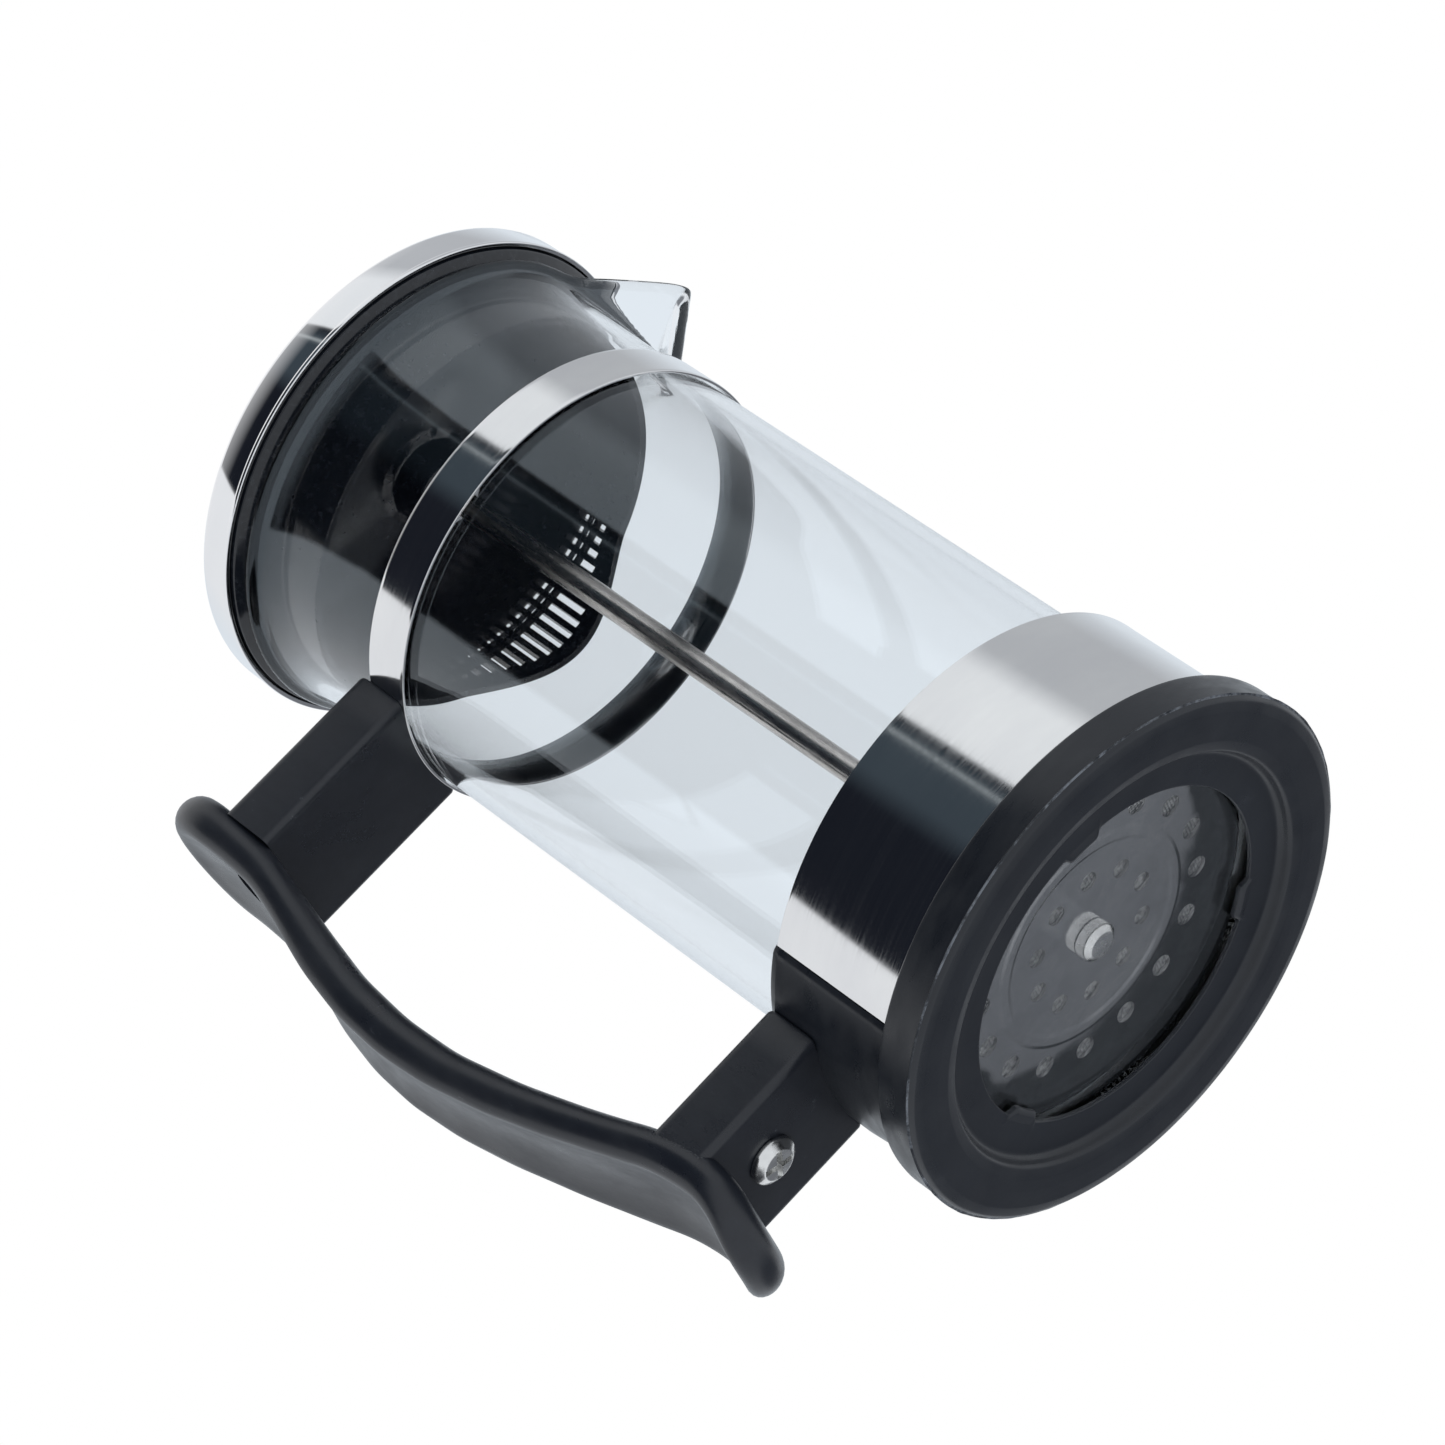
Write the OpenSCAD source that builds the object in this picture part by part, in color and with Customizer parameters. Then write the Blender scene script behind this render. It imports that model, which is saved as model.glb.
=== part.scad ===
// French press coffee maker: glass beaker in a steel and plastic stand, turning lid, sliding plunger.
// Millimetres. Origin on the press axis at the table, +Z up, handle towards -X, spout towards +X.

/* [Show] */
// Which sub-part to draw

/* [Glass beaker] */
// Outside radius of the straight glass wall
glass_r = 34.5; // [25:0.5:60]
// Height of the beaker from its underside to its rim
glass_h = 139.6; // [100:0.2:220]
// Thickness of the glass wall
glass_wall = 1.8; // [1.2:0.1:3]
// Thickness of the glass floor
glass_floor = 2.5; // [1.5:0.1:5]
// Radius of the outer bottom corner
glass_corner = 6; // [3:0.5:10]
// Height of the flared mouth above the straight wall
flare_h = 20; // [12:1:30]
// How far the rim stands out beyond the straight wall
flare_out = 3.6; // [2:0.1:6]
// Height of the thick bead round the rim
rim_bead_h = 1.8; // [1:0.1:3]
// How far the spout's tip stands out beyond the straight wall
spout_out = 12.5; // [8:0.5:20]
// How far the spout's tip lies below the rim
spout_drop = 7.6; // [2:0.1:15]
// How far the root of the spout lies below the rim
spout_root = 19; // [12:0.5:30]
// Half width of the spout where it leaves the rim
spout_half_w = 18; // [10:0.5:24]
// How far the spout's sides end below the rim
side_drop = 1.6; // [1:0.1:4]
// How far the spout's fold stands out past the middle of the wall
web_out = 0.3; // [0:0.1:0.6]

/* [Base] */
// How far the foot ring stands out beyond the glass
foot_out = 6.1; // [4:0.1:10]
// Height of the foot ring
foot_h = 7.1; // [5:0.1:15]
// Rounding of the foot ring's lower edge
foot_edge = 0.8; // [0.4:0.1:2]
// Depth of the recess under the base
recess_depth = 2.2; // [1:0.1:4]
// Width of the foot ring's standing face
stand_face_w = 7.4; // [4:0.1:12]
// Thickness of the ledge the glass sits on
ledge_t = 0.8; // [0.6:0.1:3]
// Width of the ledge the glass sits on
ledge_w = 6.4; // [4:0.1:12]
// Thickness of the plastic cup wall inside the sleeve
cup_wall = 2.7; // [1.5:0.1:4]
// Height of the plastic cup wall above the table
cup_top = 27.8; // [20:0.1:50]
// Width of each snap tab on the ledge's edge
tab_w = 6; // [3:0.5:10]
// Length of each snap tab
tab_l = 1.6; // [0.8:0.1:3]
// Thickness of the steel sleeve
sleeve_t = 0.4; // [0.3:0.05:1]
// Height of the sleeve's top edge above the table
sleeve_top = 29.4; // [20:0.1:60]

/* [Handle] */
// Width of the two arms
arm_w = 24; // [15:0.5:30]
// Height of each arm's section
arm_h = 9.3; // [7:0.1:14]
// Height of the lower arm's underside above the table
arm_z_low = 20.2; // [10:0.1:30]
// Distance of the upper arm's underside below the glass rim
arm_drop = 32.9; // [25:0.1:45]
// Distance from the glass wall to the grip's inner face at the arms
reach = 25.5; // [18:0.5:40]
// Extra half width of the grip beyond the arms at its ends
grip_flare = 0.4; // [0.2:0.1:2]
// Length of the grip's rounded ends beyond the arms
grip_end = 12.6; // [8:0.2:18]
// Half width of the grip at its middle
grip_half_w = 10; // [8:0.5:14]
// Half angle of the handle socket round the axis
socket_angle = 33; // [25:0.5:40]
// How far the socket's face stands out from the sleeve
socket_out = 0.5; // [0.4:0.1:3]
// Width of the socket's tongue inside the lower arm
tongue_w = 15; // [8:0.5:18]
// Thickness of the tongue
tongue_t = 5; // [3:0.1:7]
// Length of the tongue beyond the socket's face
tongue_l = 16.5; // [12:0.5:22]
// Distance of the arm screw from the glass wall
arm_screw_off = 16.5; // [10:0.5:20]
// Thread radius of the arm screw
arm_screw_r = 2; // [1.5:0.25:2.5]
// Head radius of the arm screw
arm_screw_head_r = 3.8; // [3:0.1:5]
// Height of the arm screw's head
arm_screw_head_h = 1.8; // [1.5:0.1:4]
// Radius of the access hole in the grip
access_r = 3.4; // [3:0.1:5]

/* [Upper band] */
// Height of the steel band
band_h = 6.2; // [4:0.1:12]
// Distance of the band's lower edge below the glass rim
band_drop = 33.1; // [25:0.1:45]
// Thickness of the band
band_t = 0.4; // [0.3:0.05:1]
// Length of the band's folded lug inside the upper arm
lug_l = 10; // [7:0.5:14]
// Half width of the lug
lug_half_w = 4; // [3.5:0.1:6]
// Thickness of the lug's sheet
lug_t = 0.8; // [0.6:0.1:1.5]
// Thread radius of the band screw
band_screw_r = 1.5; // [1.25:0.25:2]
// Head radius of the band screw
band_screw_head_r = 2.8; // [2.5:0.1:4]
// Half width across the square nut's flats
nut_half_w = 2.6; // [2.4:0.1:4]
// Thickness of the square nut
nut_t = 2.2; // [1.6:0.1:3]

/* [Lid] */
// Thickness of the seating ring between lid and glass
seal_t = 2.5; // [1.5:0.1:4]
// Height of the steel cap's skirt
skirt_h = 6; // [4:0.1:12]
// How far the cap's skirt stands out beyond the glass rim
skirt_out = 0.9; // [0.7:0.1:3]
// Thickness of the steel cap
cap_t = 0.6; // [0.4:0.1:1]
// Rise of the cap's dome above its skirt
dome_rise = 5.5; // [3:0.5:15]
// Height of the strainer ring that hangs into the beaker
insert_h = 11.1; // [8:0.1:20]
// Wall thickness of the strainer ring
insert_wall = 1.3; // [1:0.1:2]
// Thickness of the insert's top disc
insert_disc_t = 0.9; // [0.8:0.1:2]
// How far the strainer lobe hangs below the ring
lobe_drop = 5.5; // [3:0.1:10]
// Direction the strainer faces, from the spout
strainer_angle = 90; // [0:1:359]
// Slots in each row of the strainer
slot_count = 18; // [8:1:24]
// Angle between slots
slot_pitch = 3.9; // [3.5:0.1:6]
// Width of each slot
slot_w = 1.05; // [0.6:0.05:1.5]
// Radius of the boss round the rod under the lid
boss_r = 6; // [5:0.5:9]
// Length of the boss under the lid
boss_h = 6.5; // [3:0.5:10]

/* [Plunger] */
// Radius of the plunger rod
rod_r = 1.9; // [1.5:0.05:3]
// Radius of the knob
knob_r = 11; // [8:0.5:15]
// Height of the knob
knob_h = 13.6; // [10:0.2:24]
// Height of the collar under the knob
ferrule_h = 2.4; // [2:0.2:6]
// Radius of the collar under the knob
ferrule_r = 6.5; // [5:0.5:9]
// Radius of the wire coil round the plunger's edge
coil_r = 1; // [0.7:0.05:1.5]
// Thickness of the plunger's steel plates
plate_t = 0.6; // [0.4:0.05:1]
// Thickness of the filter mesh
mesh_t = 0.25; // [0.15:0.05:0.5]
// Height of the top plate's upturned edge
plate_skirt_h = 4; // [2:0.5:7]
// Radius of the nut under the plates
hub_r = 3; // [2.5:0.1:5]
// Height of the nut under the plates
hub_h = 2.5; // [2:0.1:5]
// Radius of the collar on top of the plates
collar_r = 3.2; // [2.8:0.1:5]
// Height of the collar on top of the plates
collar_h = 4.5; // [3:0.5:8]

/* [Fits] */
// Gap between parts that move past each other
move_gap = 0.35; // [0.3:0.05:1]
// Radial running clearance of the rod in its bush
run_gap = 0.05; // [0.02:0.01:0.1]
// Assembly gap between parts of one body
slip = 0.05; // [0.03:0.01:0.2]

/* [Hidden] */
$fn = 96;
eps = 0.01;
through = 200;

// heights
ledge_top = recess_depth + ledge_t;
glass_z = ledge_top + move_gap;
rim_z = glass_z + glass_h;
floor_z = glass_z + glass_floor;
arm_z_up = rim_z - arm_drop;
band_z = rim_z - band_drop;
seal_z = rim_z + move_gap;
disc_z = seal_z + seal_t + move_gap;
disc_top = disc_z + insert_disc_t;
cap_z = seal_z + 1.7;
cap_top = cap_z + skirt_h;
ring_z = rim_z - insert_h;
boss_z = disc_z - boss_h;
hub_z = floor_z + 0.5;
cross_z = hub_z + hub_h + slip;
mesh_z = cross_z + plate_t + slip;
top_z = mesh_z + mesh_t + slip;
collar_z = top_z + plate_t + slip;
dome_z = cap_top + dome_rise;
bush_top = dome_z + 1.2;
ferrule_z = bush_top + 0.6;
knob_z = ferrule_z + ferrule_h + slip;
rod_top = knob_z + knob_h * 0.6;

// radii and distances from the axis
glass_in = glass_r - glass_wall;
cup_in = glass_r + move_gap;
cup_out = cup_in + cup_wall;
sleeve_in = cup_out + slip;
sleeve_r = sleeve_in + sleeve_t;
foot_r = glass_r + foot_out;
recess_r = foot_r - foot_edge - stand_face_w;
open_r = recess_r - ledge_w;
socket_r = sleeve_r + socket_out;
band_in = glass_r + move_gap;
band_r = band_in + band_t;
rim_r = glass_r + flare_out;
seal_r = rim_r;
seal_foot_r = glass_r + flare_out * 0.48;
insert_r = glass_in - 0.5;
insert_in = insert_r - insert_wall;
cap_r = rim_r + skirt_out;
cap_in = cap_r - cap_t;
disc_r = cap_in - slip;
bush_r = rod_r + run_gap;
bush_out = bush_r + 1.4;
coil_mid_r = glass_in - move_gap - 0.1 - coil_r;
plate_r = coil_mid_r - coil_r - slip;
grip_x = glass_r + reach;
rod_hole = rod_r + slip;
arm_mid_up = arm_z_up + arm_h / 2;
arm_mid_low = arm_z_low + arm_h / 2;
tab_half = asin(tab_w / 2 / open_r);
screw_x = glass_r + arm_screw_off;
lug_x = band_r + lug_l;
lug_half_h = 2.6;
pocket_wall = (arm_h - tongue_t) / 2 - 0.3;

function arc(cx, cz, r, a0, a1, n) = [for (i = [0:n]) let (a = a0 + (a1 - a0) * i / n)
  [cx + r * cos(a), cz + r * sin(a)]];
function lerp(a, b, t) = a + (b - a) * t;

// an annulus with square edges
module tube(r_out, r_in, z0, z1) {
  translate([0, 0, z0])
    difference() {
      cylinder(r = r_out, h = z1 - z0);
      translate([0, 0, -1])
        cylinder(r = r_in, h = z1 - z0 + 2);
    }
}

// a wedge of the given half angle about direction dir, for cutting rings
module sector(half, dir, z0, z1) {
  rotate([0, 0, dir])
    translate([0, 0, z0])
      linear_extrude(height = z1 - z0)
        polygon([[0, 0], [80 * cos(half), -80 * sin(half)], [120, 0], [80 * cos(half), 80 * sin(half)]]);
}

// cross recess of a screw head, opening downwards at z = 0
module cross_recess(w) {
  for (a = [0, 90])
    rotate([0, 0, a])
      translate([-w / 2, -w / 8, -eps])
        cube([w, w / 4, 0.9]);
}

module foot_ring() {
  color([0.16, 0.17, 0.19])
    difference() {
      rotate_extrude()
        polygon([[recess_r, 0], [foot_r - foot_edge, 0], [foot_r - foot_edge * 0.3, foot_edge * 0.3],
          [foot_r, foot_edge], [foot_r - 0.3, foot_h], [cup_out, foot_h], [cup_out, cup_top],
          [cup_in, cup_top], [cup_in, ledge_top], [open_r - tab_l, ledge_top],
          [open_r - tab_l, recess_depth], [recess_r, recess_depth]]);
      // the ledge's edge is cut back between its snap tabs
      for (a = [35, 155, 275])
        intersection() {
          cylinder_between(open_r, 0, foot_h);
          sector(60 - tab_half, a + 60, 0, foot_h);
        }
    }
}

module base_sleeve() {
  color([0.8, 0.8, 0.82])
    difference() {
      tube(sleeve_r, sleeve_in, foot_h + slip, sleeve_top);
      sector(socket_angle + 0.3, 180, 0, sleeve_top + 1);
    }
}

module handle_socket() {
  color([0.16, 0.17, 0.19])
    difference() {
      union() {
        intersection() {
          tube(socket_r, cup_out + slip, foot_h + slip, sleeve_top);
          sector(socket_angle, 180, 0, sleeve_top + 1);
        }
        translate([-socket_r - tongue_l, -tongue_w / 2, arm_mid_low - tongue_t / 2])
          cube([tongue_l + 3, tongue_w, tongue_t]);
      }
      cylinder_between(cup_out + slip, 0, sleeve_top + 1);
      translate([-screw_x, 0, 0])
        cylinder(r = arm_screw_r + slip, h = sleeve_top);
    }
}

// the side view of the grip, as distance from the axis and height
module grip_side() {
  span = arm_z_up - arm_z_low;
  outer_low = [[4.6, -grip_end], [6.4, 0.6 - grip_end], [7, 2 - grip_end], [6.2, 4.4 - grip_end], [4.7, -5.5],
    [3.8, -2.5], [3.6, 0], [3.9, 4], [4.6, 8], [5.5, 10.8]];
  outer_mid = [[9.2, 0.26], [12, 0.385], [13.8, 0.5], [14.4, 0.6], [13.8, 0.7], [12, 0.8], [9.7, 0.88],
    [8.3, 0.93]];
  end_up = arm_h + grip_end;
  outer_up = [[7, -1.5], [6.7, 2], [6.5, 7], [6.6, 12], [6.4, end_up - 4.4], [5, end_up - 1.4], [3, end_up]];
  inner_up = [[1.4, end_up - 0.3], [0.2, end_up - 2], [0, end_up - 5.4], [0.3, arm_h], [1, 0]];
  inner_mid = [[2.6, 0.93], [5.1, 0.81], [7, 0.71], [7.8, 0.6], [7.3, 0.48], [5.3, 0.36], [2.4, 0.23],
    [0.6, 0.16]];
  inner_low = [[-0.8, 10.3], [-2.2, 4], [-2.4, 0], [-1.8, -5], [-0.2, 3.6 - grip_end],
    [1.2, 1.4 - grip_end], [3, 0.2 - grip_end]];
  polygon(concat(
    [for (p = outer_low) [grip_x + p[0], arm_z_low + p[1]]],
    [for (p = outer_mid) [grip_x + p[0], arm_z_low + p[1] * span]],
    [for (p = outer_up) [grip_x + p[0], arm_z_up + p[1]]],
    [for (p = inner_up) [grip_x + p[0], arm_z_up + p[1]]],
    [for (p = inner_mid) [grip_x + p[0], arm_z_low + p[1] * span]],
    [for (p = inner_low) [grip_x + p[0], arm_z_low + p[1]]]));
}

// the front view of the grip, as half widths up its height
module grip_front() {
  end_w = arm_w / 2 + grip_flare;
  right = concat(
    [for (a = [-87:14.5:0]) [end_w * cos(a), arm_z_low + (grip_end + eps) * sin(a)]],
    [[end_w, arm_z_low + arm_h], [grip_half_w + 0.6, lerp(arm_z_low, arm_z_up, 0.33)],
      [grip_half_w, lerp(arm_z_low, arm_z_up, 0.55)], [grip_half_w + 0.6, lerp(arm_z_low, arm_z_up, 0.78)],
      [end_w, arm_z_up]],
    [for (a = [0:14.5:87]) [end_w * cos(a), arm_z_up + arm_h + (grip_end + eps) * sin(a)]]);
  left = [for (i = [len(right) - 1:-1:0]) [-right[i][0], right[i][1]]];
  polygon(concat(right, left));
}

module handle() {
  color([0.16, 0.17, 0.19])
    difference() {
      union() {
        intersection() {
          rotate([90, 0, 180])
            translate([0, 0, -20])
              linear_extrude(height = 40)
                grip_side();
          rotate([90, 0, 90])
            translate([0, 0, -grip_x - 20])
              linear_extrude(height = 30)
                grip_front();
        }
        translate([-grip_x - 3, -arm_w / 2, arm_z_low])
          cube([reach + 3, arm_w, arm_h]);
        translate([-grip_x - 3, -arm_w / 2, arm_z_up])
          cube([reach + 3, arm_w, arm_h]);
      }
      // the arms' ends follow the socket and the band
      translate([0, 0, -1])
        cylinder(r = socket_r + slip, h = arm_z_low + arm_h + 2);
      translate([0, 0, arm_z_up - 1])
        cylinder(r = band_r + slip, h = arm_h + 2);
      // pocket for the tongue, with its screw hole
      translate([-socket_r - tongue_l - 0.6, -tongue_w / 2 - 0.3, arm_z_low + pocket_wall])
        cube([tongue_l + 2, tongue_w + 0.6, arm_h - 2 * pocket_wall]);
      translate([-screw_x, 0, arm_z_low - 1])
        cylinder(r = arm_screw_r + 0.15, h = arm_h / 2);
      // pocket for the band's lug, with the screw hole and the access hole
      translate([-lug_x - 1.2, -lug_half_w - 0.4, arm_mid_up - lug_half_h - 0.6])
        cube([lug_l + 3, 2 * lug_half_w + 0.8, 2 * lug_half_h + 1.2]);
      translate([-grip_x + 2, 0, arm_mid_up])
        rotate([0, 90, 0])
          cylinder(r = band_screw_r + 0.2, h = reach - lug_l - 1);
      translate([-grip_x - 20, 0, arm_mid_up])
        rotate([0, 90, 0])
          cylinder(r = access_r, h = 22);
    }
}

module upper_band() {
  color([0.85, 0.85, 0.87])
    difference() {
      union() {
        tube(band_r, band_in, band_z, band_z + band_h);
        difference() {
          translate([-lug_x, -lug_half_w, arm_mid_up - lug_half_h])
            cube([lug_l + 1, 2 * lug_half_w, 2 * lug_half_h]);
          translate([-lug_x + lug_t, -lug_half_w + lug_t, arm_mid_up - through / 2])
            cube([lug_l + 2, 2 * (lug_half_w - lug_t), through]);
          translate([0, 0, band_z - 10])
            cylinder(r = band_in, h = 30);
        }
      }
      translate([-lug_x - 2, 0, arm_mid_up])
        rotate([0, 90, 0])
          cylinder(r = band_screw_r + slip, h = 5);
    }
}

module band_nut() {
  color([0.75, 0.75, 0.72])
    difference() {
      translate([-lug_x + lug_t + slip, -nut_half_w, arm_mid_up - nut_half_w])
        cube([nut_t, 2 * nut_half_w, 2 * nut_half_w]);
      translate([-lug_x - 1, 0, arm_mid_up])
        rotate([0, 90, 0])
          cylinder(r = band_screw_r + slip, h = 8);
    }
}

module band_screw() {
  head_x = grip_x - 2 + slip;
  tip_x = lug_x - lug_t - nut_t - 1.5;
  color([0.8, 0.8, 0.82])
    translate([-head_x, 0, arm_mid_up])
      rotate([0, 90, 0])
        union() {
          cylinder(r = band_screw_r, h = head_x - tip_x);
          difference() {
            translate([0, 0, -1.8])
              rotate_extrude()
                polygon([[0, 0], [band_screw_head_r - 0.8, 0], [band_screw_head_r, 0.8],
                  [band_screw_head_r, 1.8], [0, 1.8]]);
            translate([0, 0, -1.8])
              cross_recess(band_screw_head_r * 1.2);
          }
        }
}

module arm_screw() {
  head_h = arm_screw_head_h;
  color([0.82, 0.82, 0.84])
    translate([-screw_x, 0, arm_z_low - slip - head_h])
      union() {
        translate([0, 0, head_h - eps])
          cylinder(r = arm_screw_r, h = arm_h - pocket_wall - 1);
        difference() {
          rotate_extrude()
            polygon([[0, 0], [arm_screw_head_r - 1.4, 0.1], [arm_screw_head_r - 0.6, 0.6],
              [arm_screw_head_r, head_h * 0.6], [arm_screw_head_r, head_h], [0, head_h]]);
          cross_recess(arm_screw_head_r * 1.2);
        }
      }
}

module glass_beaker() {
  r = glass_r;
  w = glass_wall;
  f = rim_z - flare_h;
  ic = glass_corner - w;
  tip = [r + spout_out, 0, rim_z - spout_drop];
  root = [r - w / 2 + web_out, 0, rim_z - spout_root];
  side_x = sqrt(pow(r + 0.9 + web_out, 2) - pow(spout_half_w, 2));
  side_z = rim_z - side_drop;
  color([0.8, 0.9, 0.95, 0.35])
    union() {
      difference() {
        rotate_extrude()
          polygon(concat(
            [[0, glass_z]],
            arc(r - glass_corner, glass_z + glass_corner, glass_corner, -90, 0, 6),
            [[r, f], [r + flare_out * 0.06, f + flare_h * 0.25], [r + flare_out * 0.2, f + flare_h * 0.5],
              [r + flare_out * 0.38, f + flare_h * 0.75], [r + flare_out * 0.52, rim_z - rim_bead_h],
              [rim_r - 0.3, rim_z - rim_bead_h * 0.7], [rim_r, rim_z - rim_bead_h * 0.4],
              [rim_r - 0.4, rim_z], [r - w + flare_out * 0.75, rim_z],
              [r - w + flare_out * 0.5, rim_z - rim_bead_h], [r - w + flare_out * 0.38, f + flare_h * 0.75],
              [r - w + flare_out * 0.2, f + flare_h * 0.5], [r - w + flare_out * 0.06, f + flare_h * 0.25],
              [r - w, f]],
            arc(r - glass_corner, floor_z + ic, ic, 0, -90, 6),
            [[0, floor_z]]));
        // the way out into the spout
        polyhedron(points = [root, [side_x, -spout_half_w, side_z], tip, [side_x, spout_half_w, side_z],
            [root[0], 0, rim_z + 6], [side_x, -spout_half_w, rim_z + 6], [tip[0], 0, rim_z + 6],
            [side_x, spout_half_w, rim_z + 6]],
          faces = [[0, 1, 2], [0, 2, 3], [0, 4, 5, 1], [1, 5, 6, 2], [2, 6, 7, 3], [3, 7, 4, 0],
            [4, 7, 6, 5]]);
      }
      for (s = [-1, 1])
        hull() {
          translate(tip)
            sphere(r = w / 2, $fn = 12);
          translate(root)
            sphere(r = w / 2, $fn = 12);
          translate([side_x, s * spout_half_w, side_z])
            sphere(r = w / 2, $fn = 12);
        }
    }
}

module lid_seal() {
  color([0.08, 0.08, 0.09])
    rotate_extrude()
      polygon([[insert_r + move_gap, seal_z], [seal_foot_r, seal_z], [seal_r, seal_z + seal_t / 2],
        [seal_r, seal_z + seal_t], [insert_r + move_gap, seal_z + seal_t]]);
}

module lid_insert() {
  lobe_half = insert_r * 0.575;
  lobe = [for (i = [-12:12]) [lobe_half * i / 12, ring_z - lobe_drop * pow(cos(90 * i / 12), 1.45)]];
  row_z = ring_z + 4.9;
  color([0.06, 0.06, 0.07])
    difference() {
      union() {
        tube(insert_r, insert_in, ring_z, disc_z + eps);
        tube(disc_r, bush_out + slip, disc_z, disc_top);
        tube(boss_r, bush_out + slip, boss_z, disc_z + eps);
        intersection() {
          tube(insert_r, insert_in, ring_z - lobe_drop - 1, ring_z + 2);
          rotate([0, 0, strainer_angle - 90])
            translate([0, insert_r + 5, 0])
              rotate([90, 0, 0])
                linear_extrude(height = insert_r + 5)
                  polygon(concat(lobe, [[lobe_half, ring_z + 1], [-lobe_half, ring_z + 1]]));
        }
      }
      for (i = [0:slot_count - 1])
        let (turn = (i - (slot_count - 1) / 2) * slot_pitch,
            deep = 1.9 + (lobe_drop + 0.4) * pow(cos(90 * min(1, abs(sin(turn)) * insert_r / lobe_half)), 2))
          rotate([0, 0, strainer_angle + turn])
            union() {
              translate([insert_in - 2, -slot_w / 2, row_z + 0.6])
                cube([insert_wall + 4, slot_w, 3.5]);
              translate([insert_in - 2, -slot_w / 2, row_z - deep])
                cube([insert_wall + 4, slot_w, deep]);
            }
    }
}

module lid_cap() {
  top_r = cap_r - 1.2;
  rise = dome_rise;
  n = 10;
  outer = [for (i = [0:n]) [lerp(top_r, bush_out + slip, i / n), cap_top + rise * sin(90 * i / n)]];
  inner = [for (i = [n:-1:0])
    [lerp(top_r - 0.3, bush_out + slip, i / n), cap_top - cap_t + rise * sin(90 * i / n)]];
  color([0.88, 0.88, 0.9])
    rotate_extrude()
      polygon(concat([[cap_in, cap_z], [cap_r - 0.15, cap_z], [cap_r, cap_z + 0.3], [cap_r, cap_top - 1.3],
        [cap_r - 0.35, cap_top - 0.45]], outer, inner, [[cap_in, cap_top - 1.5]]));
}

module lid_bush() {
  color([0.85, 0.85, 0.87])
    difference() {
      union() {
        cylinder_between(bush_out, boss_z - 0.8, bush_top);
        cylinder_between(bush_out + 1.6, dome_z + slip, bush_top);
        cylinder_between(bush_out + 1.4, boss_z - 0.8, boss_z - slip);
      }
      cylinder_between(bush_r, boss_z - 5, bush_top + 5);
    }
}

module cylinder_between(r, z0, z1) {
  translate([0, 0, z0])
    cylinder(r = r, h = z1 - z0);
}

module plunger_rod() {
  color([0.7, 0.68, 0.65])
    cylinder_between(rod_r, hub_z + 0.8, rod_top);
}

module rod_collar() {
  color([0.8, 0.8, 0.82])
    tube(collar_r, rod_hole, collar_z, collar_z + collar_h);
}

module top_plate() {
  color([0.8, 0.8, 0.82])
    difference() {
      rotate_extrude()
        polygon([[rod_hole, top_z], [plate_r, top_z], [plate_r, top_z + plate_skirt_h],
          [plate_r - plate_t, top_z + plate_skirt_h], [plate_r - plate_t, top_z + plate_t],
          [rod_hole, top_z + plate_t]]);
      for (i = [0:11])
        rotate([0, 0, i * 30])
          translate([plate_r * 0.66, 0, top_z - 1])
            cylinder(r = 2.2, h = plate_t + 2);
    }
}

module edge_spring() {
  color([0.82, 0.82, 0.84])
    translate([0, 0, top_z + plate_skirt_h / 2])
      rotate_extrude()
        translate([coil_mid_r, 0])
          circle(r = coil_r, $fn = 32);
}

module filter_mesh() {
  color([0.6, 0.6, 0.62])
    tube(plate_r, rod_hole, mesh_z, mesh_z + mesh_t);
}

module cross_plate() {
  color([0.8, 0.8, 0.82])
    difference() {
      tube(plate_r - 1, rod_hole, cross_z, cross_z + plate_t);
      for (i = [0:9])
        rotate([0, 0, i * 36])
          translate([plate_r * 0.35, 0, cross_z - 1])
            cylinder(r = 1.5, h = plate_t + 2);
      for (i = [0:15])
        rotate([0, 0, i * 22.5])
          translate([plate_r * 0.63, 0, cross_z - 1])
            cylinder(r = 1.7, h = plate_t + 2);
    }
}

module hub_nut() {
  color([0.8, 0.8, 0.82])
    difference() {
      translate([0, 0, hub_z])
        rotate_extrude()
          polygon([[0, 0], [hub_r - 1, 0], [hub_r, 0.7], [hub_r, hub_h], [0, hub_h]]);
      cylinder_between(rod_hole, hub_z + 0.75, hub_z + hub_h + 1);
    }
}

module knob_ferrule() {
  color([0.85, 0.85, 0.87])
    difference() {
      translate([0, 0, ferrule_z])
        rotate_extrude()
          polygon([[0, 0], [ferrule_r - 1.5, 0], [ferrule_r, 0.8], [ferrule_r, 1.6],
            [ferrule_r - 1.2, ferrule_h], [0, ferrule_h]]);
      cylinder_between(rod_hole, ferrule_z - 1, ferrule_z + ferrule_h + 1);
    }
}

module knob() {
  color([0.08, 0.08, 0.09])
    difference() {
      translate([0, 0, knob_z])
        rotate_extrude()
          polygon([for (p = [[0, 0], [0.5, 0], [0.77, 0.11], [0.95, 0.29], [1, 0.48], [0.96, 0.65],
            [0.84, 0.81], [0.62, 0.93], [0.33, 0.985], [0, 1]]) [p[0] * knob_r, p[1] * knob_h]]);
      cylinder_between(rod_hole, knob_z - 1, rod_top + slip);
    }
}

foot_ring();
base_sleeve();
handle_socket();
handle();
upper_band();
band_nut();
band_screw();
arm_screw();
glass_beaker();
lid_seal();
lid_insert();
lid_cap();
lid_bush();
plunger_rod();
rod_collar();
top_plate();
edge_spring();
filter_mesh();
cross_plate();
hub_nut();
knob_ferrule();
knob();
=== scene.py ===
import math

import bmesh
import bpy
import numpy as np
from mathutils import Matrix, Vector


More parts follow.
